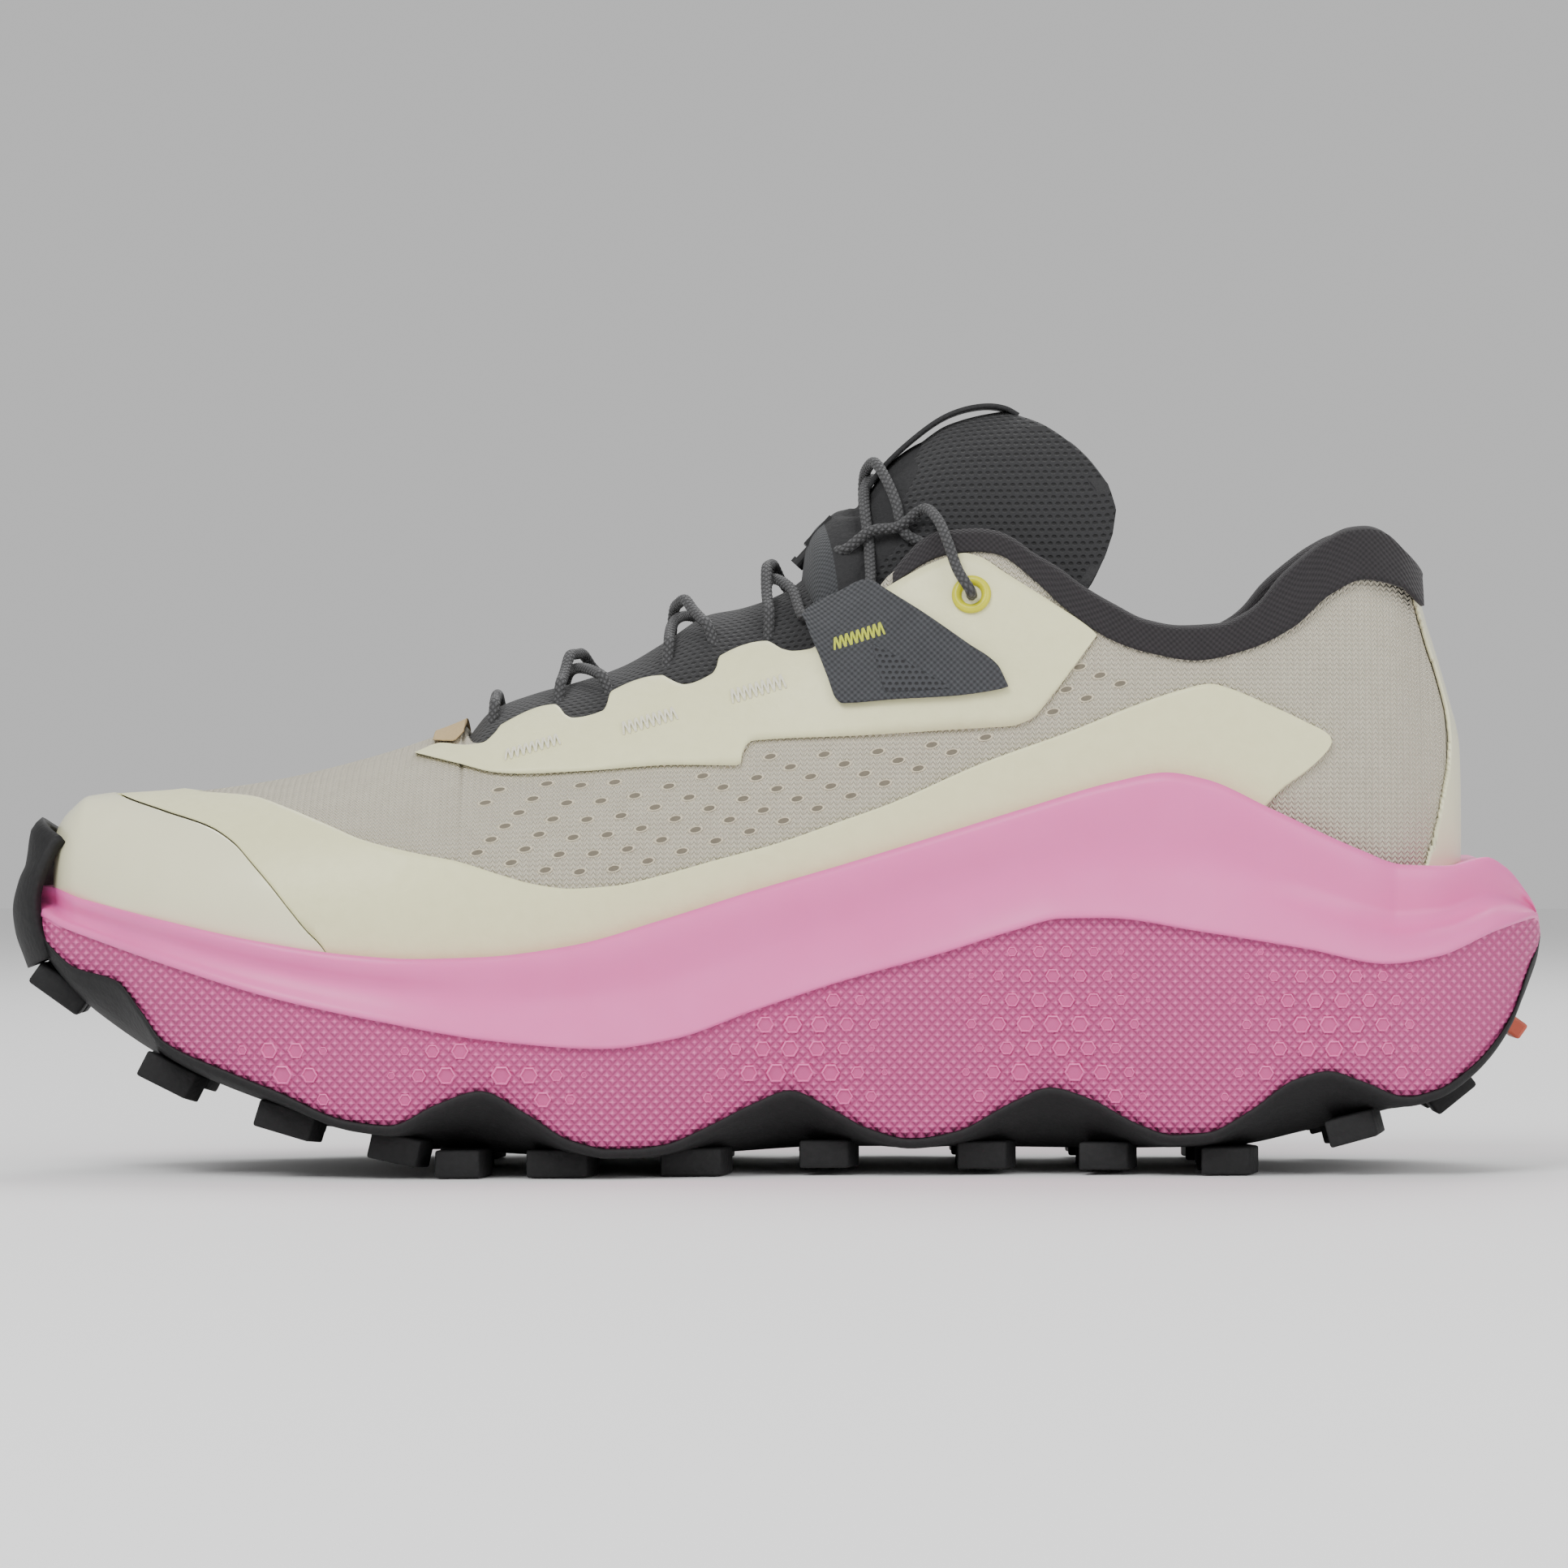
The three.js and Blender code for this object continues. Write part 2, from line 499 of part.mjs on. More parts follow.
// Lining of one side of the collar; the two halves meet at a seam down the back of the heel.
function collarLining(side) {
  const top = COLLAR_TOP.slice().reverse();
  const low = COLLAR_LOW.slice(0, -1).concat([[130, 107]]).map(([x, z]) => [x, z + 0.2]);
  const seam = side < 0 ? [-90, -SEAM / 2] : [SEAM / 2, 90];
  const roll = layer((x) => -1 - 1.2 * smooth(100 * SX, 116 * SX, x), padDepth, [...low, ...top], seam);
  const skinOut = [[56, 97], [56, 90], [66, 85], [90, 84], [140, 84], [140, 112], [106, 112], [99, 109],
    [84, 99], [74, 97], [66, 98.4], [60, 101]];
  const skin = layer((x) => padDepth(x) - 0.7, padDepth, skinOut, seam);
  return roll.add(skin);
}

const tongueThick = (x) => 3.6 + 4.6 * smooth(-5 * SX, 22 * SX, x);

// What the tongue has to stay clear of under the edges of the throat.
function knitZone() {
  const zone = foot(-2).subtract(foot(KNIT + GAP + 0.3, -2));
  const hole = [...THROAT, [30, 116], [120, 116], [120, 200], [-58.5, 200]];
  return zone.subtract(prism(hole.map(([x, z]) => [x, z + 0.4])));
}

function tongueLower() {
  const outline = [[-70, 66], [-70, 90], [-40, 110], [0, 125], FOLD[0], FOLD[1], [47, 96], [32, 90], [10, 84],
    [-18, 74], [-48, 66]];
  const shell = tongueVolume(0).subtract(tongueVolume(tongueThick));
  const lapped = prism([[-75, 60], [-75, 90], [-58, 90], [-58, 60]]).intersect(tongueVolume(-20));
  const body = shell.intersect(prism(outline)).subtract(knitZone());
  const tabs = foot(-3).subtract(foot(1)).intersect(prism(EYESTAY.map(([x, z]) => [x, z + 0.5])));
  let clear = lapped.subtract(foot(KNIT + GAP + 0.4, 0)).add(tabs);
  for (const side of [-1, 1]) {
    for (const pair of TABS) clear = clear.add(foldTube(pair, side, FOLD_DEPTH, 2.4, 15).outer);
    clear = clear.add(foldTube(WING_FOLD, side, WING_DEPTH, 2.4, 13).outer);
  }
  return body.subtract(clear.add(laceTube(LACE_D / 2 + 0.5, 6)));
}

const TOP_EDGE = [[40.5, 150], [41, 139.4], [47.3, 137.3], [55.4, 131], [59.5, 125.7], [60.9, 120.9],
  [60.2, 116.4], [58.6, 111.9], [54.5, 104.6]];

function tongueTop() {
  const inset = TOP_EDGE.map(([x, z]) => [x - 2.6, z - 1.2]);
  const outline = [[19, 129.6], [10, 133], [10, 150], ...inset.slice(0, -1), [51, 105.2]];
  const shell = tongueVolume(0).subtract(tongueVolume(tongueThick));
  return shell.intersect(prism(outline)).subtract(eyeletBore(3));
}

function tongueBinding() {
  const inner = TOP_EDGE.map(([x, z]) => [x - 2.3, z - 0.9]).reverse();
  const outline = [...TOP_EDGE, [52.6, 105.5], ...inner.slice(1)];
  const shell = tongueVolume(-0.2).subtract(tongueVolume((x) => tongueThick(x) + 0.3));
  return shell.intersect(prism(outline));
}

// Flat band following a side line, of a given thickness and width.
function ribbon(points, thick, y0, y1) {
  const path = new THREE.CatmullRomCurve3(points.map(([x, z]) => new THREE.Vector3(x, 0, z)));
  const low = [];
  const high = [];
  for (let i = 0; i <= 14; i++) {
    const p = path.getPoint(i / 14);
    const t = path.getTangent(i / 14);
    low.push([p.x, p.z]);
    high.push([p.x - t.z * thick, p.z + t.x * thick]);
  }
  return prism([...low, ...high.reverse()], y0, y1);
}

function pullStrap() {
  const y = centreY(30 * SX);
  const points = [[20.4, 131], [23.6, 134.6], [29.4, 138.6], [34.4, 140], [38, 140.3]];
  return ribbon(points, 1.1, y - 6, y + 6).subtract(tongueVolume(-GAP));
}

// Stretch cover over the front of the tongue that stows the lock.
const COVER = 9.4;

function pocketZone(outline, half) {
  const y = centreY(10 * SX);
  return prism(outline, y - half, y + half);
}

function lacePocket() {
  const outer = tongueVolume(-COVER).intersect(pocketZone([[5, 95], [5, 140], [12.8, 140], [12.8, 95]], 15));
  const hollow = tongueVolume(-COVER + 0.9).intersect(pocketZone([[0, 90], [0, 145], [11.8, 145], [11.8, 90]], 20));
  return outer.subtract(hollow).subtract(tongueVolume(-GAP));
}

function pocketBand() {
  const rib = tongueVolume(-COVER - 0.5).subtract(tongueVolume(-COVER + 0.7));
  return rib.intersect(pocketZone([[1.4, 95], [1.4, 140], [4.7, 140], [4.7, 95]], 17));
}

// Straight stretch of the lace inside each fold, as (x, z) pairs.
const TABS = [[[-50.2, 80.2], [-42.8, 82.6]], [[-30.4, 86.2], [-22.8, 88.5]], [[-10.8, 92.7], [-4, 94.9]]];
const WING_FOLD = [[4.6, 101.9], [14.4, 106.2]];
const FOLD_DEPTH = 2.6;
const WING_DEPTH = -0.6;

const foldPoint = ([x, z], side, depth = FOLD_DEPTH) =>
  new THREE.Vector3(x * SX, sideY(depth, x * SX, z, side), z);

function foldTube(pair, side, depth, wall = 1.2, extra = 0) {
  const a = foldPoint(pair[0], side, depth);
  const b = foldPoint(pair[1], side, depth);
  const rod = (r, more) => {
    const length = a.distanceTo(b) + more;
    const geometry = new THREE.CylinderGeometry(r, r, length, 12);
    const turn = new THREE.Quaternion().setFromUnitVectors(
      new THREE.Vector3(0, 1, 0),
      b.clone().sub(a).normalize(),
    );
    geometry.applyQuaternion(turn);
    const mid = a.clone().add(b).multiplyScalar(0.5);
    geometry.translate(mid.x, mid.y, mid.z);
    return solid(geometry);
  };
  return { outer: rod(LACE_D / 2 + wall, extra), bore: rod(LACE_D / 2 + 0.9, 4) };
}

function laceLoop(k, side) {
  const { outer, bore } = foldTube(TABS[k], side, FOLD_DEPTH, 1.45, -1.8);
  return outer.subtract(bore).subtract(foot(-FILM_OUT - 1, -2).subtract(foot(-0.05, -1)));
}

function wing(side) {
  const out = FILM_OUT + GAP;
  const sheet = layer(-out - 0.7, -out, WING, side < 0 ? MEDIAL : LATERAL);
  const { outer, bore } = foldTube(WING_FOLD, side, WING_DEPTH, 1.45, -0.8);
  return sheet.add(outer).subtract(bore);
}

// Small sewn bar on the outside of a layer.
function barTack(x, z, length, height, base, side) {
  const a = 0.3;
  const corner = (u, v) => [x + u * Math.cos(a) - v * Math.sin(a), z + u * Math.sin(a) + v * Math.cos(a)];
  const l = length / 2;
  const h = height / 2;
  const outline = [corner(-l, -h), corner(l, -h), corner(l, h), corner(-l, h)];
  return layer(-base - 0.6, -base, outline, side < 0 ? MEDIAL : LATERAL);
}

// Rows of the lacing: where a strand leaves one side and reaches the other.
function crossing(from, to, side, over, lift) {
  const a = foldPoint(from, side);
  const b = foldPoint(to, -side);
  const out = [];
  for (const t of [0.08, 0.16, 0.26, 0.38, 0.5, 0.62, 0.74, 0.84, 0.92]) {
    const p = a.clone().lerp(b, t);
    const middle = 1 - Math.min(1, Math.abs(t - 0.5) / 0.3);
    const back = lift.back * Math.sin(Math.PI * t);
    const x = p.x - back;
    const rest = tongueZ(0, x, p.y) + LACE_D / 2 + lift.z * Math.sin(Math.PI * t) ** 0.4 + 1.4;
    const z = Math.max(rest, p.z + 1.2);
    out.push(new THREE.Vector3(x, p.y, z + (over ? (LACE_D + 0.7) * smooth(0, 0.55, middle) : 0)));
  }
  return out;
}

const ROWS = [
  { from: [-41.2, 83.4], to: [-32, 85.6], lift: { back: 2, z: 0.2 } },
  { from: [-21.2, 89.2], to: [-12.6, 91.8], lift: { back: 2.6, z: 0.4 } },
  { from: [-2.4, 95.6], to: [2.8, 100.6], lift: { back: 3, z: 1.2 } },
  { from: [16.2, 107.2], to: [24, 114.6], lift: { back: 4.6, z: 2.4 } },
];

function halfLace(side, over) {
  const points = [];
  let s = side;
  const straight = (pair, depth) => {
    const a = foldPoint(pair[0], s, depth);
    const b = foldPoint(pair[1], s, depth);
    for (const t of [-0.1, 0, 0.5, 1, 1.1]) points.push(a.clone().lerp(b, t));
  };
  straight(TABS[0], FOLD_DEPTH);
  for (let k = 0; k < 4; k++) {
    const row = ROWS[k];
    points.push(...crossing(row.from, row.to, s, over, row.lift));
    s = -s;
    if (k < 2) straight(TABS[k + 1], FOLD_DEPTH);
    if (k === 2) straight(WING_FOLD, WING_DEPTH);
  }
  const at = (x, z, d) => new THREE.Vector3(x * SX, sideY(d, x * SX, z, s), z);
  const bore = (d) => {
    const p = eyeletFrame(new THREE.SphereGeometry(0.1, 4, 2), s, d);
    p.computeBoundingSphere();
    return p.boundingSphere.center.clone();
  };
  points.push(at(27.4, 113.8, 5.2), at(31.6, 109.6, 5.6), bore(-4.6), bore(0), bore(4.6));
  points.push(at(31.6, 109.4, -4.6), at(29.8, 114.6, -4), at(28, 119, -2), at(25.4, 121, 1.6));
  const y = centreY(10 * SX);
  for (const [x, w, up] of [[21, 18.4, 6.4], [16, 18, 7.4], [11.2, 17, 6], [8.8, 12.5, 4.4]]) {
    points.push(new THREE.Vector3(x * SX, y + s * w, tongueZ(0, x * SX, y + s * w) + up));
  }
  points.push(new THREE.Vector3(LOCK.x * SX, y + s * (LOCK.width / 2 + 1.2), LOCK.z));
  return points;
}

function lacePath() {
  const start = foldPoint([-53, 79.6], -1, 2);
  const end = foldPoint([-53, 79.6], 1, 2);
  const bar = [];
  for (const t of [0.07, 0.2, 0.34, 0.5, 0.66, 0.8, 0.93]) {
    const p = start.clone().lerp(end, t);
    bar.push(new THREE.Vector3(p.x, p.y, tongueZ(0, p.x, p.y) + 2.4));
  }
  const medial = halfLace(-1, true).reverse();
  return new THREE.CatmullRomCurve3([...medial, start, ...bar, end, ...halfLace(1, false)], false, 'centripetal');
}

function laceTube(r, sides) {
  const shape = new THREE.Shape();
  for (let i = 0; i < sides; i++) {
    const a = (i / sides) * 2 * Math.PI;
    if (i === 0) shape.moveTo(r, 0);
    else shape.lineTo(r * Math.cos(a), r * Math.sin(a));
  }
  const options = { steps: 120, extrudePath: lacePath(), bevelEnabled: false };
  return solid(new THREE.ExtrudeGeometry(shape, options));
}

// Sprung lock for the two ends of the lace.
const LOCK = { x: 7.3, z: 116.7, tilt: -0.83, width: 11, length: 7, thick: 3.4 };

function lockFrame(geometry) {
  geometry.rotateY(LOCK.tilt);
  geometry.translate(LOCK.x * SX, centreY(10 * SX), LOCK.z);
  return solid(geometry);
}

function lockBore(radius, from, to) {
  const geometry = new THREE.CylinderGeometry(radius, radius, to - from, 16);
  geometry.rotateZ(Math.PI / 2);
  geometry.translate((from + to) / 2, 0, 0);
  return lockFrame(geometry);
}

function laceLockBody() {
  const block = lockFrame(new THREE.BoxGeometry(LOCK.length, LOCK.width, LOCK.thick));
  return block.subtract(lockBore(1.3, -8, 3));
}

function laceLockButton() {
  const face = -LOCK.length / 2 - BUTTON_TRAVEL - 0.3;
  const stem = lockBore(1, face - 0.3, 0.2);
  const cap = lockBore(1.4, face - 1.1, face);
  return stem.add(cap);
}

const group = new THREE.Group();

function add(name, body, color, roughness, metalness = 0) {
  const material = new THREE.MeshStandardMaterial({ color, roughness, metalness });
  const mesh = new THREE.Mesh(toGeometry(body), material);
  mesh.name = name;
  group.add(mesh);
}

add('outsole', outsole(), 0x262628, 0.85);
add('heel_colour_lug', heelColourLug(), 0xc8553c, 0.7);
add('midsole', midsole(), 0xe680b8, 0.6);
add('strobel_board', strobelBoard(), 0xcfcabb, 0.9);
add('insole', insole(), 0x4a4a50, 0.9);
add('upper_knit', upperKnit(), 0xd9d2bd, 0.9);
add('toe_cap', toeCap(), 0xe8e7cc, 0.4);
add('toe_puff', toePuff(), 0xb9b4a4, 0.8);
add('side_film', sideFilm(), 0xe0dfc4, 0.5);
add('eyestay_film_medial', eyestayFilm(MEDIAL), 0xe4e3c6, 0.5);
add('eyestay_film_lateral', eyestayFilm(LATERAL), 0xe4e3c6, 0.5);
add('throat_patch', throatPatch(), 0xb89a68, 0.7);
add('heel_strip', heelStrip(), 0xe8e6d0, 0.5);
add('heel_counter', heelCounter(), 0xa8a498, 0.6);
add('heel_lining', heelLining(), 0x37353a, 0.95);
add('collar_foam', collarFoam(), 0xd8cf9a, 0.95);
add('collar_lining_medial', collarLining(-1), 0x373437, 0.95);
add('collar_lining_lateral', collarLining(1), 0x373437, 0.95);
add('tongue_lower', tongueLower(), 0x201f21, 0.95);
add('tongue_top', tongueTop(), 0x242325, 0.95);
add('tongue_binding', tongueBinding(), 0x2c2b2d, 0.8);
add('tongue_pull_strap', pullStrap(), 0x1c1c1e, 0.85);
add('lace_pocket', lacePocket(), 0x232224, 0.9);
add('pocket_band', pocketBand(), 0x3c3e42, 0.8);
add('lace', laceTube(LACE_D / 2, 8), 0x2a2a2c, 0.8);
add('lace_lock_body', laceLockBody(), 0x1a1a1c, 0.5);
add('lace_lock_button', laceLockButton(), 0xb9c02c, 0.5);
for (const [name, side] of [['medial', -1], ['lateral', 1]]) {
  add(`eyelet_${name}`, eyelet(side), 0xcdcd1e, 0.45);
  add(`wing_${name}`, wing(side), 0x3c3e42, 0.85);
  add(`wing_bar_tack_${name}`, barTack(13.5, 97.4, 9.2, 3, FILM_OUT + 2 * GAP + 0.7, side), 0xbec828, 0.7);
  for (let k = 0; k < 3; k++) {
    add(`lace_loop_${name}_${k + 1}`, laceLoop(k, side), 0x1e1e20, 0.9);
    const [x, z] = [[-45.6, 77.2], [-24.5, 82], [-4.8, 87.8]][k];
    add(`bar_tack_${name}_${k + 1}`, barTack(x, z, 10, 3.4, FILM_OUT + GAP, side), 0xe2dfc2, 0.7);
  }
}

export default group;
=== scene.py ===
import math
import bmesh
import bpy
import numpy as np
from mathutils import Matrix, Vector


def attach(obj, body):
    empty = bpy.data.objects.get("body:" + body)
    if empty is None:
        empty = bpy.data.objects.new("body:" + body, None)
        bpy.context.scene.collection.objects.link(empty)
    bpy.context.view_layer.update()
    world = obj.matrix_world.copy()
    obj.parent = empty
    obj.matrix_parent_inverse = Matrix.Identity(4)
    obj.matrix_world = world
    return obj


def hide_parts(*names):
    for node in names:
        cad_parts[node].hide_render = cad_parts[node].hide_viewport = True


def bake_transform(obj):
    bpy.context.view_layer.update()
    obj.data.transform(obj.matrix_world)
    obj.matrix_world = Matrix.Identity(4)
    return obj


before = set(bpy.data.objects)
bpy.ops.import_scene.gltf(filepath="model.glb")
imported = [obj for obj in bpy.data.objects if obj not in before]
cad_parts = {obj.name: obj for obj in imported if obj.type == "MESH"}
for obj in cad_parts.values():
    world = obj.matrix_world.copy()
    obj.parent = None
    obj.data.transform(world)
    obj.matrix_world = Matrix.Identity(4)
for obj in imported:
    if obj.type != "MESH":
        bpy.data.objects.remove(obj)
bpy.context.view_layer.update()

scene = bpy.context.scene

# Studio: a long lens square to the medial side, pale floor and backdrop,
# broad soft lamps above and in front, so the shoe is lit evenly.
lens_camera = bpy.data.cameras.new("camera")
lens_camera.lens = 180
lens_camera.sensor_width = 36
lens_camera.clip_end = 20
camera = bpy.data.objects.new("camera", lens_camera)
near_side = -0.050
camera.location = (0.0, near_side - 0.2803 * lens_camera.lens / lens_camera.sensor_width, 0.07065)
camera.rotation_euler = (math.pi / 2, 0, 0)
scene.collection.objects.link(camera)
scene.camera = camera

floor_mesh = bmesh.new()
bmesh.ops.create_grid(floor_mesh, x_segments=1, y_segments=1, size=3)
floor_data = bpy.data.meshes.new("floor")
floor_mesh.to_mesh(floor_data)
floor_mesh.free()
floor = bpy.data.objects.new("floor", floor_data)
floor.location.z = -0.0002
scene.collection.objects.link(floor)
floor_paint = bpy.data.materials.new("floor_paint")
floor_paint.use_nodes = True
floor_paint.node_tree.nodes["Principled BSDF"].inputs["Base Color"].default_value = (0.86, 0.86, 0.86, 1)
floor_paint.node_tree.nodes["Principled BSDF"].inputs["Roughness"].default_value = 0.7
floor_data.materials.append(floor_paint)

world = bpy.data.worlds.new("studio")
world.use_nodes = True
world.node_tree.nodes["Background"].inputs["Color"].default_value = (1, 1, 1, 1)
world.node_tree.nodes["Background"].inputs["Strength"].default_value = 0.62
scene.world = world
for name, place, size, power in (("key", (-0.6, -1.1, 1.3), 0.9, 24), ("fill", (0.9, -1.0, 0.7), 0.9, 9),
                                 ("back", (0.2, 1.0, 1.2), 0.9, 12)):
    lamp = bpy.data.lights.new(name, "AREA")
    lamp.size = size
    lamp.energy = power
    holder = bpy.data.objects.new(name, lamp)
    holder.location = place
    holder.rotation_euler = (Vector((0, 0, 0.06)) - Vector(place)).to_track_quat("-Z", "Y").to_euler()
    scene.collection.objects.link(holder)

# Foam midsole: injected foam whose side wall is pink, textured below a lip and
# smooth above it, with a scooped band under the rim that cups the upper.
MM = 0.001


def curve(*points):
    xs, zs = np.array(points, float).T
    d = np.diff(zs) / np.diff(xs)
    same = d[:-1] * d[1:] > 0
    m = np.concatenate(([d[0]], np.where(same, 2 * d[:-1] * d[1:] / np.where(same, d[:-1] + d[1:], 1), 0), [d[-1]]))

    def value(x):
        x = np.clip(np.asarray(x, float), xs[0], xs[-1])
        i = np.clip(np.searchsorted(xs, x, side="right") - 1, 0, len(xs) - 2)
        h = xs[i + 1] - xs[i]
        t = (x - xs[i]) / h
        return ((2 * t**3 - 3 * t**2 + 1) * zs[i] + (t**3 - 2 * t**2 + t) * h * m[i]
                + (3 * t**2 - 2 * t**3) * zs[i + 1] + (t**3 - t**2) * h * m[i + 1])
    return value


def ease(a, b, x):
    t = np.clip((x - a) / (b - a), 0, 1)
    return t * t * (3 - 2 * t)


centre = curve((-140, -7.5), (-125, -6), (-90, -3.5), (-65, -1.5), (-45, 0.5), (-20, 3), (0, 4.5), (20, 4.8),
               (40, 4.3), (60, 3.5), (90, 1), (125, -0.5), (140, -0.5))
ridge = curve((-134, 57), (-132.5, 62.5), (-130, 65.5), (-127, 67.6), (-111, 69), (-95, 71.2), (-78.6, 75),
              (-62.4, 80.2), (-54, 83.8), (-38, 90.2), (-18, 98.4), (2, 108.5), (12, 118.5), (20, 129), (28, 138),
              (38, 146), (50, 150), (90, 151), (104, 146), (110, 134), (114, 119), (117, 103), (119.8, 93.7),
              (122.1, 85.7), (123.9, 78.6), (124.5, 71), (124.7, 64))
widest = curve((-134, 53), (-110, 48), (-60, 45), (0, 50), (40, 56), (90, 60), (124.7, 62))
under_foot = curve((-134, 50), (-128, 44), (-118, 39), (-105, 35), (-90, 31.5), (-60, 28), (-30, 28.5), (0, 31.5),
                   (40, 36.5), (80, 39.5), (105, 41), (118, 44), (124.7, 57))
half_width = curve((-134, 0), (-133, 7), (-130, 13.5), (-125, 19.5), (-118, 26.5), (-110, 33), (-100, 39),
                   (-90, 43.5), (-78, 46.8), (-65, 48.3), (-50, 48.3), (-35, 46.5), (-20, 44), (0, 40.5), (20, 38),
                   (40, 36.5), (60, 36), (85, 35.5), (100, 32.5), (110, 28), (117, 21.5), (121.5, 14.5),
                   (123.7, 8), (124.7, 0))
UPPER_TOE, UPPER_HEEL = -134.0, 124.7
rim = curve((-140, 46.5), (-137.5, 51.8), (-135.5, 52), (-127.4, 49.8), (-111, 46), (-95, 42.7), (-78.6, 40.3),
            (-66, 39.5), (-54, 39.8), (-38, 41.8), (-22, 46.3), (-5.5, 51.5), (11, 56.3), (27, 61.2), (43, 66.2),
            (60, 71.2), (69, 72.8), (76, 71.6), (88, 66.2), (104, 58.9), (112.3, 56.1), (120, 55.9), (128, 57.4),
            (132, 55.5), (136.2, 51.2), (138.6, 47.6), (140, 43.6))
lip = curve((-140, 46), (-137, 46.8), (-130.6, 44.5), (-111, 38.3), (-92, 32.8), (-72.8, 28.7), (-51, 25),
            (-32, 23.6), (-20, 25.2), (-5.5, 30.2), (9, 35), (29, 40.6), (42, 44.7), (50, 46.7), (58, 46.8),
            (75, 44.4), (94, 41.3), (108.5, 38.6), (118, 39.9), (130, 44.6), (138, 46.4), (140, 43.3))
wave = curve((-140, 45.6), (-137, 44.6), (-133.9, 41.2), (-129, 37.4), (-121, 35.2), (-116, 29.7), (-112, 24.6),
             (-99, 18.9), (-90.8, 15.8), (-78, 10.6), (-70.5, 9.8), (-62, 13.6), (-54.3, 16), (-46, 11.9),
             (-38, 7), (-29.9, 5.2), (-21.8, 6), (-13.6, 9.3), (-5.5, 13.3), (1, 15.6), (9, 12), (14.8, 8.8),
             (22.9, 6.7), (31, 8), (41, 13.2), (48, 16), (55.4, 13.9), (63.5, 9.6), (70, 7.5), (76, 7.9),
             (84, 12), (92, 17.6), (98, 19.1), (104, 17.3), (112.3, 14.4), (118, 15.6), (124.5, 19.6),
             (128.5, 23.4), (132.6, 29), (136.7, 38.2), (140, 42.9))
web = curve((-140, 44.8), (-137, 42), (-132, 36.6), (-125, 30.5), (-110, 21.4), (-89, 13.4), (-69, 8.4), (-56, 6),
            (-40, 5.2), (-16, 5.3), (8, 6.4), (37, 6.3), (59, 6.1), (81, 6.6), (95, 9.4), (109, 13), (120, 16),
            (128, 22), (134, 30.5), (138, 38), (140, 42.4))
sole_width = curve((-138.6, 0), (-137.6, 7), (-134, 14.5), (-125, 23), (-110, 37), (-90, 47.3), (-65, 53),
                   (-45, 53.8), (-20, 49.8), (0, 45.8), (20, 43), (40, 41.4), (60, 41.6), (90, 42.6),
                   (115, 38.8), (125, 33), (133, 24.5), (138, 13.5), (140, 0))
SOLE_TOE, SOLE_HEEL = -138.6, 140.0


def upper_y(x, z, out=0.0):
    w, zc = half_width(x), widest(x)
    up = np.maximum(ridge(x) - zc, 0.1)
    down = np.maximum(zc - under_foot(x), 0.1)
    high = np.clip((z - zc) / up, 0, 1) ** (1 / 0.96)
    low = np.clip((zc - z) / down, 0, 1) ** 2
    y = np.where(z >= zc, w * np.sqrt(1 - high**2) ** 0.96, w * np.maximum(1 - low**2, 0) ** 0.21)
    return y + out * np.minimum(1, w / 26)


def foam_heights(x):
    k = np.minimum(1, sole_width(x) / 20)
    zw = web(x)
    ze = np.maximum(zw + 0.2 * k, wave(x))
    zl = np.maximum(ze + 0.6 * k, lip(x))
    zt = np.maximum(zl + 0.6 * k, rim(x))
    return k, zw, ze, zl, zt


def textured_wall(x, t):
    k = np.minimum(1, sole_width(x) / 20)
    return sole_width(x) - k * (1.15 * (1 - t) ** 3 + 0.45 + 0.25 * t**4)


def foam_profile(x):
    w = sole_width(x)
    k, zw, ze, zl, zt = foam_heights(x)
    tall = zt - zl
    inside = ((x > UPPER_TOE) & (x < UPPER_HEEL)).astype(float)
    hug = inside * (upper_y(x, zt) + 3.4)
    top = np.minimum(w - 1.2 * k, np.maximum(hug, w - 9 * k))
    scoop = np.minimum(w - 1.8 * k, top + 1.6 * k * ease(0, 14, tall) - 1.4 * k)
    ys = [0 * x, 0.3 * w, 0.55 * w, 0.76 * w, 0.9 * w, w - 1.6 * k]
    zs = [zw, zw, zw, zw + 0.3 * (ze - zw), zw + 0.75 * (ze - zw), ze]
    for t in (0.06, 0.2, 0.4, 0.6, 0.8, 0.93):
        ys.append(textured_wall(x, t))
        zs.append(ze + t * (zl - 0.4 * k - ze))
    for y, z in ((textured_wall(x, 1), zl - 0.35 * k), (w + 0.25 * k, zl - 0.25 * k), (w + 0.3 * k, zl + 0.35 * k),
                 (w - 0.1 * k, zl + 1.1 * k), (w - 0.9 * k, zl + 0.2 * tall),
                 (0.5 * (w - 1.2 * k + scoop), zl + 0.31 * tall), (scoop - 0.1 * k, zl + 0.44 * tall),
                 (scoop - 0.2 * k, zl + 0.54 * tall), (0.5 * (scoop + top) + 0.35 * k, zl + 0.66 * tall),
                 (top + 0.75 * k, zl + 0.8 * tall), (top + 0.8 * k, zl + 0.93 * tall), (top + 0.1 * k, zt - 0.05 * k),
                 (top - 1.2 * k, zt - 0.1 * k)):
        ys.append(y)
        zs.append(z)
    for t in (0.03, 0.4, 0.75, 0.97):
        z = zt - 0.4 * k - t * (zt - 0.4 * k - under_foot(x) + 0.6) * inside
        ys.append(np.where(inside > 0, np.minimum(top - 1.3 * k, upper_y(x, z, 0.9)), (top - 1.3 * k) * (1 - t)))
        zs.append(z)
    ys.append(0 * x)
    zs.append(zs[-1])
    return np.array(ys), np.array(zs)


def stations(a, b, count, crowd=0.6):
    t = np.linspace(0, 1, count)
    t = crowd * (1 - np.cos(math.pi * t)) / 2 + (1 - crowd) * t
    return a + (b - a) * t


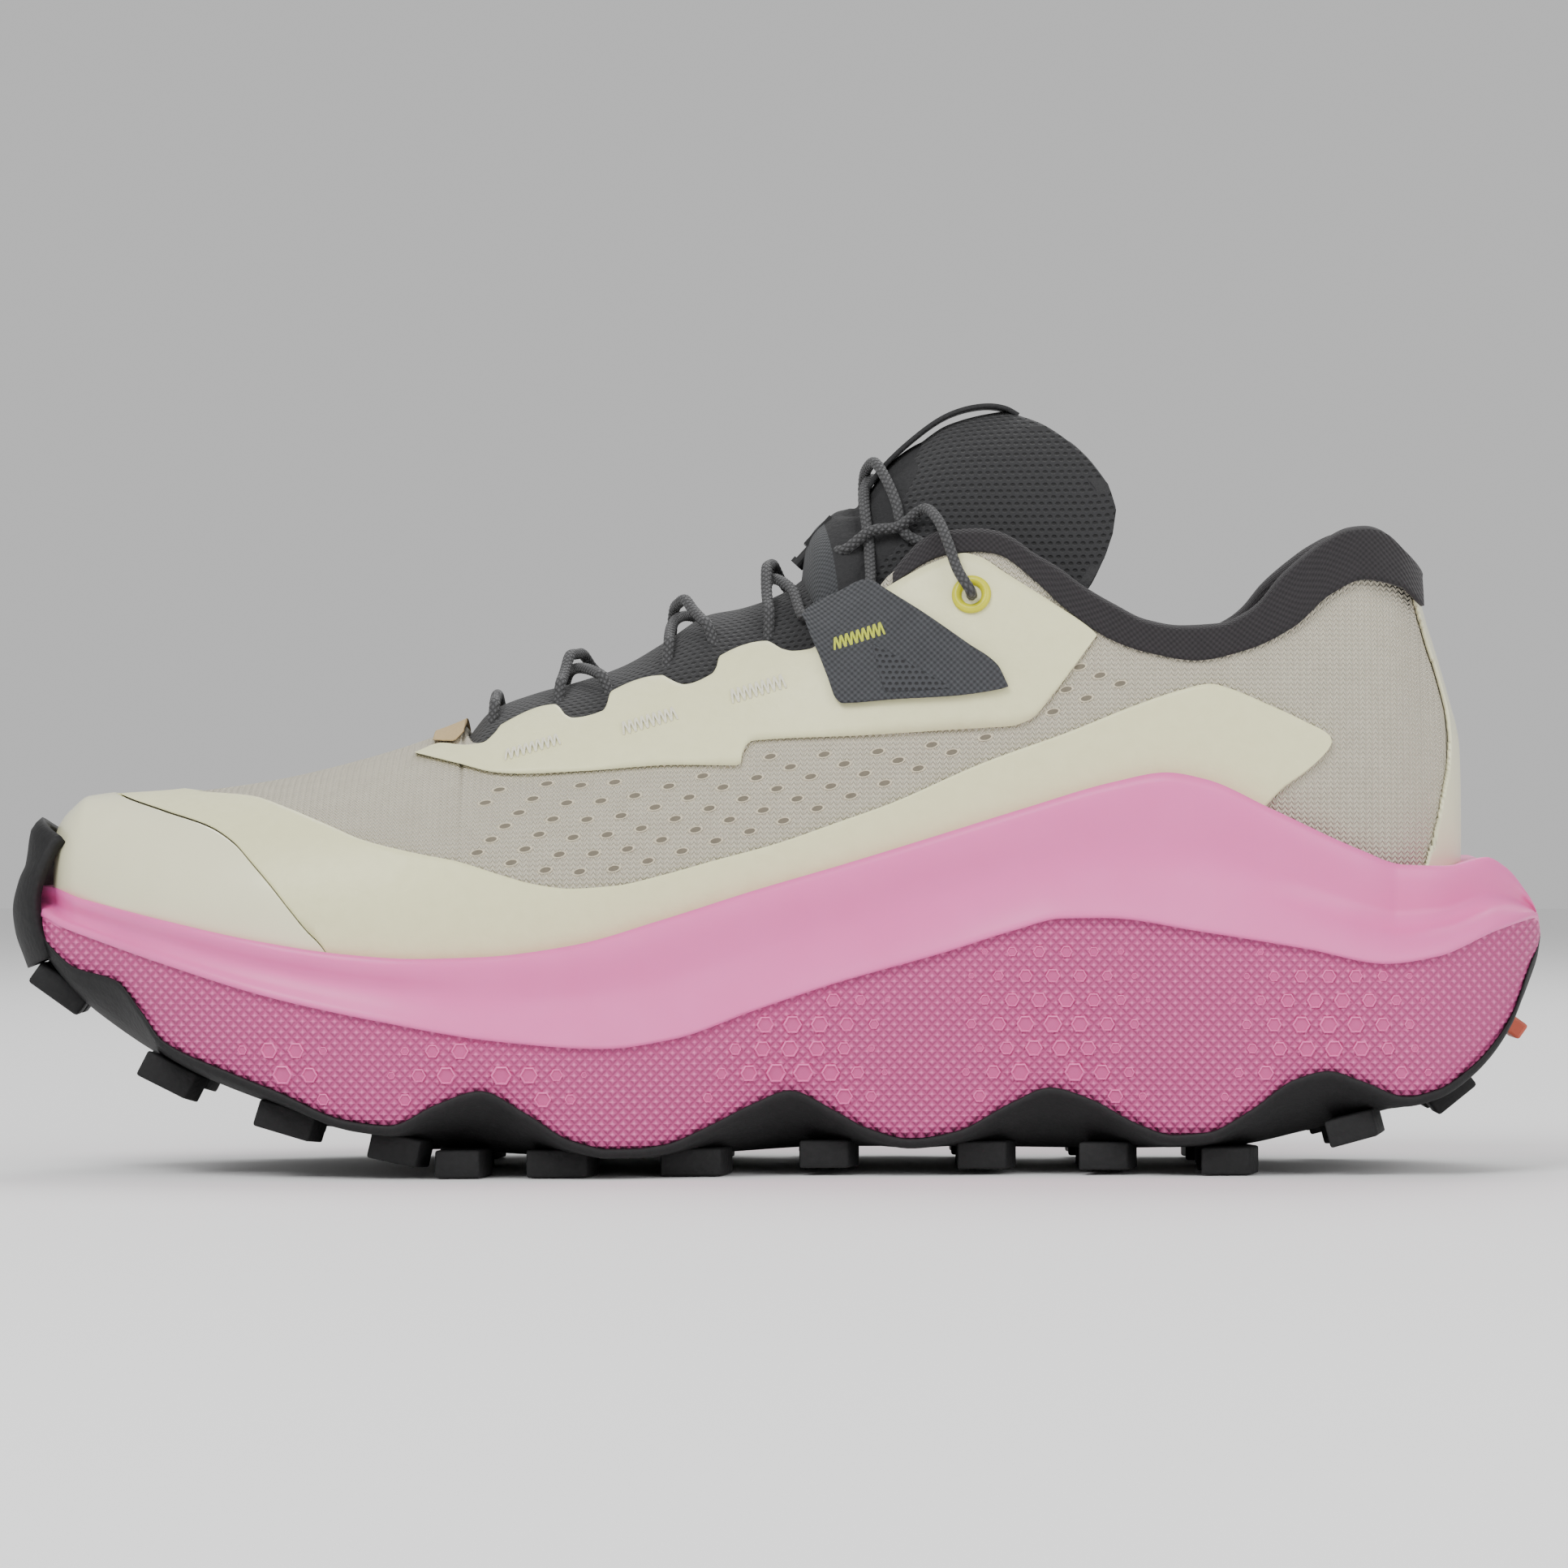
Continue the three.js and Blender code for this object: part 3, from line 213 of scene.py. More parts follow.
def ring_sections(xs, profile, end_height):
    ys, zs = profile(xs)
    ys[:, 0] = ys[:, -1] = 0
    zs[:, 0], zs[:, -1] = end_height(xs[0]), end_height(xs[-1])
    ys = np.concatenate((ys, -ys[-2:0:-1], ys[:1]))
    zs = np.concatenate((zs, zs[-2:0:-1], zs[:1]))
    points = np.stack((np.broadcast_to(xs, ys.shape), centre(xs) + ys, zs), -1)
    return points.transpose(1, 0, 2)


def lay_grid(points, uv=None):
    n, m = points.shape[:2]
    bm = bmesh.new()
    bmesh.ops.create_grid(bm, x_segments=n - 1, y_segments=m - 1, size=0.5)
    layer = bm.loops.layers.uv.new("UVMap")
    if uv is None:
        girth = np.concatenate((np.zeros((n, 1)), np.cumsum(np.linalg.norm(np.diff(points, axis=1), axis=2), axis=1)),
            1)
        uv = np.stack((points[:, :, 0], girth), -1)
    place = {}
    for v in bm.verts:
        i, j = round((v.co.x + 0.5) * (n - 1)), round((v.co.y + 0.5) * (m - 1))
        place[v] = (i, j)
    for f in bm.faces:
        for loop in f.loops:
            loop[layer].uv = uv[place[loop.vert]] * MM
        f.smooth = True
    for v, ij in place.items():
        v.co = points[ij] * MM
    return bm


def add_half(whole, bm):
    data = bpy.data.meshes.new("half")
    bm.to_mesh(data)
    bm.free()
    whole.from_mesh(data)
    bpy.data.meshes.remove(data)


def finish_piece(bm, name, materials, body, replaced=(), closed=True, join=1e-6):
    bmesh.ops.remove_doubles(bm, verts=bm.verts, dist=join)
    bmesh.ops.dissolve_degenerate(bm, edges=bm.edges, dist=1e-7)
    if closed:
        bmesh.ops.recalc_face_normals(bm, faces=bm.faces)
    data = bpy.data.meshes.new(name)
    bm.to_mesh(data)
    bm.free()
    for m in materials:
        data.materials.append(m)
    obj = bpy.data.objects.new(name, data)
    scene.collection.objects.link(obj)
    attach(obj, body)
    if replaced:
        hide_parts(*replaced)
    return obj


def new_material(name, colour, roughness, **values):
    m = bpy.data.materials.new(name)
    m.use_nodes = True
    shader = m.node_tree.nodes["Principled BSDF"]
    shader.inputs["Base Color"].default_value = (*colour, 1)
    shader.inputs["Roughness"].default_value = roughness
    for key, value in values.items():
        shader.inputs[key.replace("_", " ")].default_value = value
    return m


def node(tree, kind, *links, **values):
    n = tree.nodes.new(kind)
    for key, value in values.items():
        setattr(n, key, value)
    for i, link in enumerate(links):
        if link is None:
            continue
        if isinstance(link, bpy.types.NodeSocket):
            tree.links.new(link, n.inputs[i])
        else:
            n.inputs[i].default_value = link
    return n


def maths(tree, op, *values):
    return node(tree, "ShaderNodeMath", *values, operation=op).outputs[0]


def group(name, inputs, outputs):
    tree = bpy.data.node_groups.new(name, "ShaderNodeTree")
    for label, kind, default in inputs:
        socket = tree.interface.new_socket(label, in_out="INPUT", socket_type=kind)
        if default is not None:
            socket.default_value = default
    for label, kind in outputs:
        tree.interface.new_socket(label, in_out="OUTPUT", socket_type=kind)
    return tree, tree.nodes.new("NodeGroupInput").outputs, tree.nodes.new("NodeGroupOutput").inputs


# Fine variation of tone and a soft bump, shared by the moulded and film finishes.
tone, tone_in, tone_out = group("tone_and_bump", (("Vector", "NodeSocketVector", None),
    ("Colour", "NodeSocketColor", None), ("Shade", "NodeSocketColor", None), ("Scale", "NodeSocketFloat", 60),
    ("Bump", "NodeSocketFloat", 0.2), ("Depth", "NodeSocketFloat", 0.0004)),
    (("Colour", "NodeSocketColor"), ("Normal", "NodeSocketVector"), ("Mask", "NodeSocketFloat")))
cloud = node(tone, "ShaderNodeTexNoise")
tone.links.new(tone_in["Vector"], cloud.inputs["Vector"])
tone.links.new(tone_in["Scale"], cloud.inputs["Scale"])
cloud.inputs["Detail"].default_value = 5
blend = node(tone, "ShaderNodeMix", data_type="RGBA")
tone.links.new(cloud.outputs["Fac"], blend.inputs["Factor"])
tone.links.new(tone_in["Colour"], blend.inputs["A"])
tone.links.new(tone_in["Shade"], blend.inputs["B"])
tone.links.new(blend.outputs["Result"], tone_out["Colour"])
rise = node(tone, "ShaderNodeBump")
tone.links.new(tone_in["Bump"], rise.inputs["Strength"])
tone.links.new(tone_in["Depth"], rise.inputs["Distance"])
tone.links.new(cloud.outputs["Fac"], rise.inputs["Height"])
tone.links.new(rise.outputs["Normal"], tone_out["Normal"])
tone.links.new(cloud.outputs["Fac"], tone_out["Mask"])


def toned(name, colour, shade, roughness, scale, bump=0.2, depth=0.0004, **values):
    m = new_material(name, colour, roughness, **values)
    tree = m.node_tree
    place = node(tree, "ShaderNodeTexCoord").outputs["Object"]
    g = node(tree, "ShaderNodeGroup", node_tree=tone)
    tree.links.new(place, g.inputs["Vector"])
    g.inputs["Colour"].default_value = (*colour, 1)
    g.inputs["Shade"].default_value = (*shade, 1)
    g.inputs["Scale"].default_value = scale
    g.inputs["Bump"].default_value = bump
    g.inputs["Depth"].default_value = depth
    shader = tree.nodes["Principled BSDF"]
    tree.links.new(g.outputs["Colour"], shader.inputs["Base Color"])
    tree.links.new(g.outputs["Normal"], shader.inputs["Normal"])
    return m


smooth_foam = toned("foam_smooth_pink", (0.80, 0.135, 0.40), (0.86, 0.17, 0.46), 0.42, 90, 0.12, 0.0002,
                    Subsurface_Weight=0.08, Subsurface_Scale=0.003)

# Diamond knurl of the mould, cut as two crossing sets of grooves.
knurl, knurl_in, knurl_out = group("diamond_knurl", (("Vector", "NodeSocketVector", None),
    ("Pitch", "NodeSocketFloat", 0.0014)), (("Height", "NodeSocketFloat"),))
axes = node(knurl, "ShaderNodeSeparateXYZ", knurl_in["Vector"]).outputs
turns = maths(knurl, "DIVIDE", 2 * math.pi, knurl_in["Pitch"])
rows = []
for sign in (1, -1):
    slanted = maths(knurl, "ADD", axes["X"], maths(knurl, "MULTIPLY", axes["Z"], sign * 1.0))
    rows.append(maths(knurl, "SINE", maths(knurl, "MULTIPLY", slanted, maths(knurl, "MULTIPLY", turns, 0.72))))
knurl.links.new(maths(knurl, "MINIMUM", *rows), knurl_out["Height"])

# The grooves of the knurl are painted a darker pink than its ridges: painted shade in the grooves.
knurled_foam = new_material("foam_knurled_pink", (0.70, 0.17, 0.40), 0.6)
tree = knurled_foam.node_tree
place = node(tree, "ShaderNodeTexCoord").outputs["Object"]
cut = node(tree, "ShaderNodeGroup", node_tree=knurl)
tree.links.new(place, cut.inputs["Vector"])
ramp = node(tree, "ShaderNodeMapRange", cut.outputs["Height"], -1.0, 0.6)
knurl_groove_painted_shade = node(tree, "ShaderNodeMix", data_type="RGBA")
tree.links.new(ramp.outputs[0], knurl_groove_painted_shade.inputs["Factor"])
knurl_groove_painted_shade.inputs["A"].default_value = (0.44, 0.05, 0.19, 1)
knurl_groove_painted_shade.inputs["B"].default_value = (0.80, 0.16, 0.41, 1)
tree.links.new(knurl_groove_painted_shade.outputs["Result"], tree.nodes["Principled BSDF"].inputs["Base Color"])
raised = node(tree, "ShaderNodeBump")
raised.inputs["Strength"].default_value = 0.9
raised.inputs["Distance"].default_value = 0.0003
tree.links.new(cut.outputs["Height"], raised.inputs["Height"])
tree.links.new(raised.outputs["Normal"], tree.nodes["Principled BSDF"].inputs["Normal"])

foam = lay_grid(ring_sections(stations(SOLE_TOE, SOLE_HEEL, 360), foam_profile, wave))
for f in foam.faces:
    c = f.calc_center_median() / MM
    on_wall = c.z < float(lip(c.x)) - 0.5 and abs(c.y - float(centre(c.x))) > 0.5 * float(sole_width(c.x))
    f.material_index = 1 if on_wall else 0
midsole = finish_piece(foam, "midsole_foam", (smooth_foam, knurled_foam), "shoe", ("midsole",))

# Hexagonal cells pressed into the textured wall, largest over each arch of the
# sole and shrinking away from it: a thin raised rim round a smooth floor.
# The floor of each cell is painted much darker than the foam: painted shade in the hollow.
hex_floor_painted_shade = toned("foam_hex_floor_painted_shade", (0.52, 0.07, 0.24), (0.58, 0.085, 0.27), 0.5, 120)
cell_rim = toned("foam_cell_rim", (0.84, 0.18, 0.45), (0.78, 0.14, 0.40), 0.5, 200)


def wall_frame(x, z, side, out=0.0):
    def at(px, pz):
        _, _, ze, zl, _ = foam_heights(px)
        t = np.clip((pz - ze) / (zl - ze), 0, 1)
        return Vector((float(px), float(centre(px) + side * (textured_wall(px, t) + out)), float(pz))) * MM
    spot, along, up = at(x, z), at(x + 1, z) - at(x - 1, z), at(x, z + 1) - at(x, z - 1)
    outward = along.cross(up).normalized()
    if outward.y * side < 0:
        outward = -outward
    along = along.normalized()
    return spot, along, outward.cross(along) * (1 if side < 0 else -1), outward


def cell_template(sides, turn, rings):
    bm = bmesh.new()
    bmesh.ops.create_circle(bm, cap_ends=True, segments=sides, radius=rings[0][0])
    bmesh.ops.rotate(bm, verts=bm.verts, cent=(0, 0, 0), matrix=Matrix.Rotation(turn, 3, "Z"))
    face = bm.faces[:][0]
    for v in face.verts:
        v.co.z = rings[0][1]
    for radius, height in rings[1:]:
        made = bmesh.ops.inset_individual(bm, faces=[face], thickness=0.01, use_even_offset=True)
        for v in face.verts:
            v.co.xy = v.co.xy.normalized() * radius
            v.co.z = height
        for f in made["faces"]:
            f.material_index = 1
    for f in bm.faces:
        f.smooth = False
    data = bpy.data.meshes.new("template")
    bm.to_mesh(data)
    bm.free()
    return data


hexagon = cell_template(6, math.pi / 6, ((0.56, -0.10), (0.53, 0.10), (0.47, 0.13), (0.42, 0.02)))


def spread(template, spots, frame_at):
    bm = bmesh.new()
    for x, z, side, length, height, angle in spots:
        first, known = len(bm.verts), len(bm.faces)
        bm.from_mesh(template)
        bm.verts.ensure_lookup_table()
        spot, along, up, outward = frame_at(x, z, side)
        c, s = math.cos(angle), math.sin(angle)
        for v in bm.verts[first:]:
            a, b = v.co.x * length, v.co.y * height
            v.co = spot + (along * (a * c - b * s) + up * (a * s + b * c) + outward * v.co.z * min(length,
                height)) * MM
        if along.cross(up).dot(outward) < 0:
            bm.faces.ensure_lookup_table()
            bmesh.ops.reverse_faces(bm, faces=bm.faces[known:])
    return bm


cells = []
for row in range(9):
    z = 23.0 - 4.35 * row
    for k in range(-29, 29):
        x = 4.9 * (k + 0.5 * (row % 2)) + 1.0
        high, low = float(lip(x)), float(wave(x))
        size = 0.0
        for crest, reach in ((-53.5, 22), (1.5, 21), (48.5, 21), (98, 24), (-90, 12)):
            size = max(size, 3.9 * (1 - ((x - crest) / reach) ** 2) - 0.11 * abs(z - 15.5))
        size = min(size, 3.7)
        if size < 0.9 or z - size / 2 < low + 1.2 or z + size / 2 > high - 1.3:
            continue
        cells += [(x, z, side, size, size, 0.0) for side in (-1, 1)]
for crest in (1.5, 48.5, 98):
    for k in range(-4, 5):
        for row in range(4):
            x, z = crest + 4.9 * (k + 0.5 * (row % 2)), 27.35 + 4.35 * row
            size = 3.2 * (1 - ((x - crest) / 22) ** 2) - 0.35 * row
            if size < 0.9 or z + size / 2 > float(lip(x)) - 1.3:
                continue
            cells += [(x, z, side, size, size, 0.0) for side in (-1, 1)]
hexes = finish_piece(spread(hexagon, cells, wall_frame), "midsole_hex_cells", (hex_floor_painted_shade, cell_rim), "shoe",
    closed=False)

# Outsole: black moulded rubber with a pebbled face, its edge a thin band that
# follows the waves of the foam, with chevron lugs standing from it.
rubber = toned("rubber_black", (0.007, 0.007, 0.0075), (0.016, 0.016, 0.0165), 0.66, 900, 0.6, 0.0003,
    Specular_IOR_Level=0.3)
RUBBER, GAP = 1.8, 0.3


def web_profile(x):
    w = sole_width(x)
    k, zw, ze, _, _ = foam_heights(x)
    t, g = RUBBER * k, GAP * k * 0.3
    ys = [0 * x, 0.3 * w, 0.55 * w, 0.76 * w, 0.9 * w + 0.5, w - 1.1 * k, w - 0.55 * k, w - 0.35 * k, w - 0.5 * k,
        w - 1.3 * k, 0.9 * w, 0.76 * w, 0.55 * w, 0 * x]
    zs = [zw - g - t, zw - g - t, zw - g - t, zw + 0.3 * (ze - zw) - g - t, zw + 0.75 * (ze - zw) - g - t,
        ze - g - t * 0.95, ze - g - t * 0.7, ze - g - t * 0.3, ze - g - 0.05 * t, ze - g, zw + 0.75 * (ze - zw) - g,
        zw + 0.3 * (ze - zw) - g, zw - g, zw - g]
    return np.array(ys), np.array(zs)


sole_web = lay_grid(ring_sections(stations(SOLE_TOE - 0.4, SOLE_HEEL, 300), web_profile, lambda x: wave(x) - 0.4))
LUGS = ((-111.8, 12, 15.5), (-89.5, 12.5, 7.6), (-69.5, 11, 2.6), (-57.6, 10, 0), (-39.8, 13, 0), (-15.8, 13, 0),
        (8.2, 11, 1.2), (36.8, 11, 0.9), (58.8, 11, 0.8), (80.8, 11, 0), (104, 11, 6.2))


def chevron(bm, x, z, length, width, y, slope, deep=5.0):
    half = length / 2
    outline = ((-half, -width / 2), (half - 2, -width / 2 + 1), (half, 0), (half - 2, width / 2 - 1),
        (-half, width / 2), (-half + 2.2, 0))
    base = bm.faces.new([bm.verts.new((a, b, 0)) for a, b in outline])
    top = bmesh.ops.extrude_face_region(bm, geom=[base])["geom"]
    raised = [g for g in top if isinstance(g, bmesh.types.BMVert)]
    bmesh.ops.translate(bm, verts=raised, vec=(0, 0, deep))
    made = list(base.verts) + raised
    edges = {e for v in made for e in v.link_edges}
    bevelled = bmesh.ops.bevel(bm, geom=list(edges), offset=0.45, affect="EDGES", segments=2, profile=0.5,
        material=-1)
    verts = list({v for f in bevelled["faces"] for v in f.verts} | {v for v in made if v.is_valid})
    turn = Matrix.Rotation(-slope, 4, "Y")
    for v in verts:
        v.co = (Matrix.Translation((x, y, z)) @ turn @ v.co) * MM


for x, length, z in LUGS:
    slope = math.atan2(float(web(x + 5) - web(x - 5)), 10)
    slope = 0 if z < 1.5 else slope
    w = float(sole_width(x))
    for side in (-1, 1):
        chevron(sole_web, x, z, length, 0.42 * w, float(centre(x)) + side * 0.66 * w, slope)
    if -105 < x < 100:
        chevron(sole_web, x, z, length * 0.8, 0.34 * w, float(centre(x)), slope)


def block(bm, size, turn, place, bevel=0.6):
    made = bmesh.ops.create_cube(bm, size=1)["verts"]
    bmesh.ops.scale(bm, verts=made, vec=size)
    edges = list({e for v in made for e in v.link_edges})
    out = bmesh.ops.bevel(bm, geom=edges, offset=bevel, affect="EDGES", segments=2, profile=0.5, material=-1)
    verts = {v for f in out["faces"] for v in f.verts}
    move = Matrix.Translation(place) @ Matrix.Rotation(turn, 4, "Y")
    for v in verts:
        v.co = (move @ v.co) * MM


for side in (-1, 1):
    block(sole_web, (11, 9, 4.5), 0.62, (-132.6, float(centre(-132)) + side * 6.2, 33.2))
    block(sole_web, (9, 12, 4.4), -0.68, (121.8, side * 13 - 0.5, 14.6))
outsole = finish_piece(sole_web, "outsole_rubber", (rubber,), "shoe", ("outsole",))
for f in outsole.data.polygons:
    f.use_smooth = True

# Toe guard: the outsole rubber turned up over the front of the toe.


def guard_points(out):
    rows = []
    for side_t in np.linspace(-1, 1, 25):
        y = 12.0 * side_t
        column = []
        for z in np.linspace(37.5, 62.9, 34):
            line = curve((36, -136.2), (39.3, -137.4), (44, -139.0), (47.4, -139.4), (52.2, -138.4), (55, -137.2),
                (57.2, -136.8), (61.4, -136.2), (63.1, -134.6), (66, -131.5))
            bow = 0.020 * y * y + 0.000055 * y**4
            column.append((float(line(z)) + bow - out, float(centre(-133)) + y * (1 - 0.012 * max(0.0, z - 52)),
                z + (0.012 - 0.034 * float(ease(54, 62.9, z))) * y * y))
        rows.append(column)
    return np.array(rows)


guard = lay_grid(guard_points(0.4))
bmesh.ops.recalc_face_normals(guard, faces=guard.faces)
bmesh.ops.solidify(guard, geom=guard.faces[:], thickness=0.0022)
toe_guard = finish_piece(guard, "toe_guard_rubber", (rubber,), "shoe")

# Coloured wear lug set into the back edge of the heel.
coral = toned("rubber_coral", (0.56, 0.10, 0.055), (0.50, 0.085, 0.045), 0.55, 600, 0.4, 0.0002)
lug = bmesh.new()
block(lug, (3.2, 16, 4), -0.95, (134.5, -0.5, 26), 0.5)
heel_lug = finish_piece(lug, "heel_lug_coral", (coral,), "shoe", ("heel_colour_lug",))

# Knitted upper: one engineered knit, sewn to the strobel board and bonded down
# into the cup of the foam, cut away at the throat and the collar.
def no_slim(x):
    return 0 * x


def depth_at(d, x):
    return d(x) if callable(d) else d + 0 * np.asarray(x, float)


def foot_at(xs, a, side, d=0.0, rise=ridge, slim=no_slim):
    off = depth_at(d, xs)
    first, last = float(depth_at(d, UPPER_TOE)), float(depth_at(d, UPPER_HEEL))
    e = (xs - UPPER_TOE) / (UPPER_HEEL - UPPER_TOE)
    x = UPPER_TOE + first + (UPPER_HEEL - UPPER_TOE - first - last) * e
    w, zc = half_width(xs), widest(xs)
    wide = np.maximum(0, w - (off + slim(xs)) * np.minimum(1, w / 26))
    up = np.maximum(0, rise(xs) - zc - off * np.minimum(1, (rise(xs) - zc) / 18))
    down = np.maximum(0, zc - under_foot(xs))
    s, c = np.sin(a), np.cos(a)
    y = wide * np.where(c >= 0, np.abs(s) ** 0.96, np.abs(s) ** 0.42)
    z = np.where(c >= 0, up * np.abs(c) ** 0.96, -down * np.abs(c) ** 0.5)
    return np.stack(np.broadcast_arrays(x, centre(xs) + side * y, zc + z), -1)


def angle_at(xs, z, d=0.0, rise=ridge):
    off = depth_at(d, xs)
    zc = widest(xs)
    up = np.maximum(0.05, rise(xs) - zc - off * np.minimum(1, (rise(xs) - zc) / 18))
    down = np.maximum(0.05, zc - under_foot(xs))
    high = np.arccos(np.clip((z - zc) / up, 0, 1) ** (1 / 0.96))
    low = math.pi - np.arccos(np.clip((zc - z) / down, 0, 1) ** 2)
    return np.where(z >= zc, high, low)


def station_of(x, d=0.0):
    first, last = float(depth_at(d, UPPER_TOE)), float(depth_at(d, UPPER_HEEL))
    e = (x - UPPER_TOE - first) / (UPPER_HEEL - UPPER_TOE - first - last)
    return UPPER_TOE + (UPPER_HEEL - UPPER_TOE) * np.clip(e, 0, 1)


def shell(x_from, x_to, low, high, outer, inner, nx, na, rise=ridge, slim=no_slim, sides=(-1, 1), crowd=0.5,
        bulge=0.0):
    """Closed layer of the upper between two depths and two side lines, in millimetres."""
    xs_real = stations(x_from, x_to, nx, crowd)
    whole = bmesh.new()
    for side in sides:
        arcs = []
        t = np.linspace(0, 1, na)
        for d in (outer, inner):
            xs = station_of(xs_real, d)
            a0, a1 = angle_at(xs, low(xs_real), d, rise), angle_at(xs, high(xs_real), d, rise)
            a = a0[:, None] + (a1 - a0)[:, None] * t[None, :]
            arcs.append(foot_at(xs[:, None], a, side, d, rise, slim))
        out, back = arcs
        rings = [out, back[:, ::-1]]
        if bulge:
            top = (out[:, -1:] + back[:, -1:]) / 2 + bulge * (out[:, -1:] - out[:, -2:-1]) / np.maximum(
                1e-6, np.linalg.norm(out[:, -1:] - out[:, -2:-1], axis=2, keepdims=True))
            rings.insert(1, top)
        points = np.concatenate(rings + [out[:, :1]], axis=1)
        girth = np.concatenate((np.zeros((nx, 1)), np.cumsum(np.linalg.norm(np.diff(out, axis=1), axis=2), axis=1)),
            1)
        girth = girth + out[:, :1, 2]
        v = np.concatenate((girth,) + ((girth[:, -1:],) if bulge else ()) + (girth[:, ::-1], girth[:, :1]), 1)
        uv = np.stack((np.broadcast_to(points[:, :1, 0], v.shape), v), -1)
        add_half(whole, lay_grid(points, uv))
    bmesh.ops.remove_doubles(whole, verts=whole.verts, dist=2e-5)
    middle = [f for f in whole.faces if all(abs(v.co.y / MM - float(centre(v.co.x / MM))) < 0.03 for v in f.verts)
              and abs(f.normal.y) > 0.9]
    bmesh.ops.delete(whole, geom=middle, context="FACES_ONLY")
    bmesh.ops.holes_fill(whole, edges=[e for e in whole.edges if e.is_boundary], sides=0)
    return whole


throat = curve((-58.7, 83), (-58.3, 82), (-57.6, 78.4), (-52, 77.8), (-46, 79.4), (-38, 82.2), (-33, 83.4),
    (-22, 86.7), (-18, 88.2), (-12, 90), (-3, 92.9), (1.6, 94.3), (5, 95.4), (15, 103.2), (19, 108.6), (29.7, 114.8),
    (35, 115.3), (38.7, 114.8), (45.3, 110.1), (50.9, 104.9), (59.3, 99.1), (65.7, 96.8), (74.6, 95.3), (83.4, 97.1),
    (92.3, 101.3), (99.4, 107.4), (105.6, 110.1), (112.7, 108.8), (117, 105.6), (130, 100))


def knit_top(x):
    return np.where(x < -58.6, ridge(x) + 30, throat(x))


# Rows of leaning loops: each wale is a column of small V shapes.
knit, knit_in, knit_out = group("knit_loops", (("Vector", "NodeSocketVector", None),
    ("Wale", "NodeSocketFloat", 0.001), ("Course", "NodeSocketFloat", 0.00078)), (("Height", "NodeSocketFloat"),))
axes = node(knit, "ShaderNodeSeparateXYZ", knit_in["Vector"]).outputs
across = maths(knit, "DIVIDE", axes["X"], knit_in["Wale"])
leg = maths(knit, "MULTIPLY", maths(knit, "ABSOLUTE", maths(knit, "SUBTRACT", maths(knit, "FRACT", across), 0.5)),
    2.0)
climb = maths(knit, "ADD", maths(knit, "DIVIDE", axes["Y"], knit_in["Course"]), maths(knit, "MULTIPLY", leg, 0.7))
strand = maths(knit, "ADD", maths(knit, "MULTIPLY", maths(knit, "SINE", maths(knit, "MULTIPLY", climb, 2 * math.pi)),
    0.5), 0.5)
gap = maths(knit, "SINE", maths(knit, "MULTIPLY", leg, math.pi))
knit.links.new(maths(knit, "MULTIPLY", strand, maths(knit, "ADD", maths(knit, "MULTIPLY", gap, 0.7), 0.3)),
    knit_out["Height"])


def cloth(name, pattern, high, low, roughness, depth, sheen=0.3, strength=0.8, **sizes):
    m = new_material(name, high, roughness, Sheen_Weight=sheen, Sheen_Roughness=0.5)
    tree = m.node_tree
    flat = node(tree, "ShaderNodeUVMap", uv_map="UVMap").outputs["UV"]
    g = node(tree, "ShaderNodeGroup", node_tree=pattern)
    tree.links.new(flat, g.inputs["Vector"])
    for key, value in sizes.items():
        g.inputs[key].default_value = value
    fuzz = node(tree, "ShaderNodeTexNoise")
    tree.links.new(flat, fuzz.inputs["Vector"])
    fuzz.inputs["Scale"].default_value = 260
    # The low parts of the pattern take the darker colour: painted shade in the gaps and grooves of the fabric, mixed
    # with random fuzz.
    pattern_shade_and_fuzz = maths(tree, "ADD", maths(tree, "MULTIPLY", g.outputs["Height"], 0.85),
        maths(tree, "MULTIPLY", fuzz.outputs["Fac"], 0.3))
    mix = node(tree, "ShaderNodeMix", data_type="RGBA")
    tree.links.new(pattern_shade_and_fuzz, mix.inputs["Factor"])
    mix.inputs["A"].default_value = (*low, 1)
    mix.inputs["B"].default_value = (*high, 1)
    bump = node(tree, "ShaderNodeBump")
    bump.inputs["Strength"].default_value = strength
    bump.inputs["Distance"].default_value = depth
    tree.links.new(g.outputs["Height"], bump.inputs["Height"])
    shader = tree.nodes["Principled BSDF"]
    tree.links.new(mix.outputs["Result"], shader.inputs["Base Color"])
    tree.links.new(bump.outputs["Normal"], shader.inputs["Normal"])
    return m


# The gaps between the knit's loops are painted darker through cloth(): painted shade.
cream_knit = cloth("knit_cream", knit, (0.93, 0.875, 0.70), (0.53, 0.475, 0.355), 0.85, 0.0007, 0.15, 1.0,
    Wale=0.0012, Course=0.0009)
upper = finish_piece(shell(UPPER_TOE, UPPER_HEEL, lambda x: rim(x) - 6, knit_top, 0.0, 2.0, 340, 30, crowd=0.9),
                     "upper_knit_body", (cream_knit,), "shoe", ("upper_knit",))

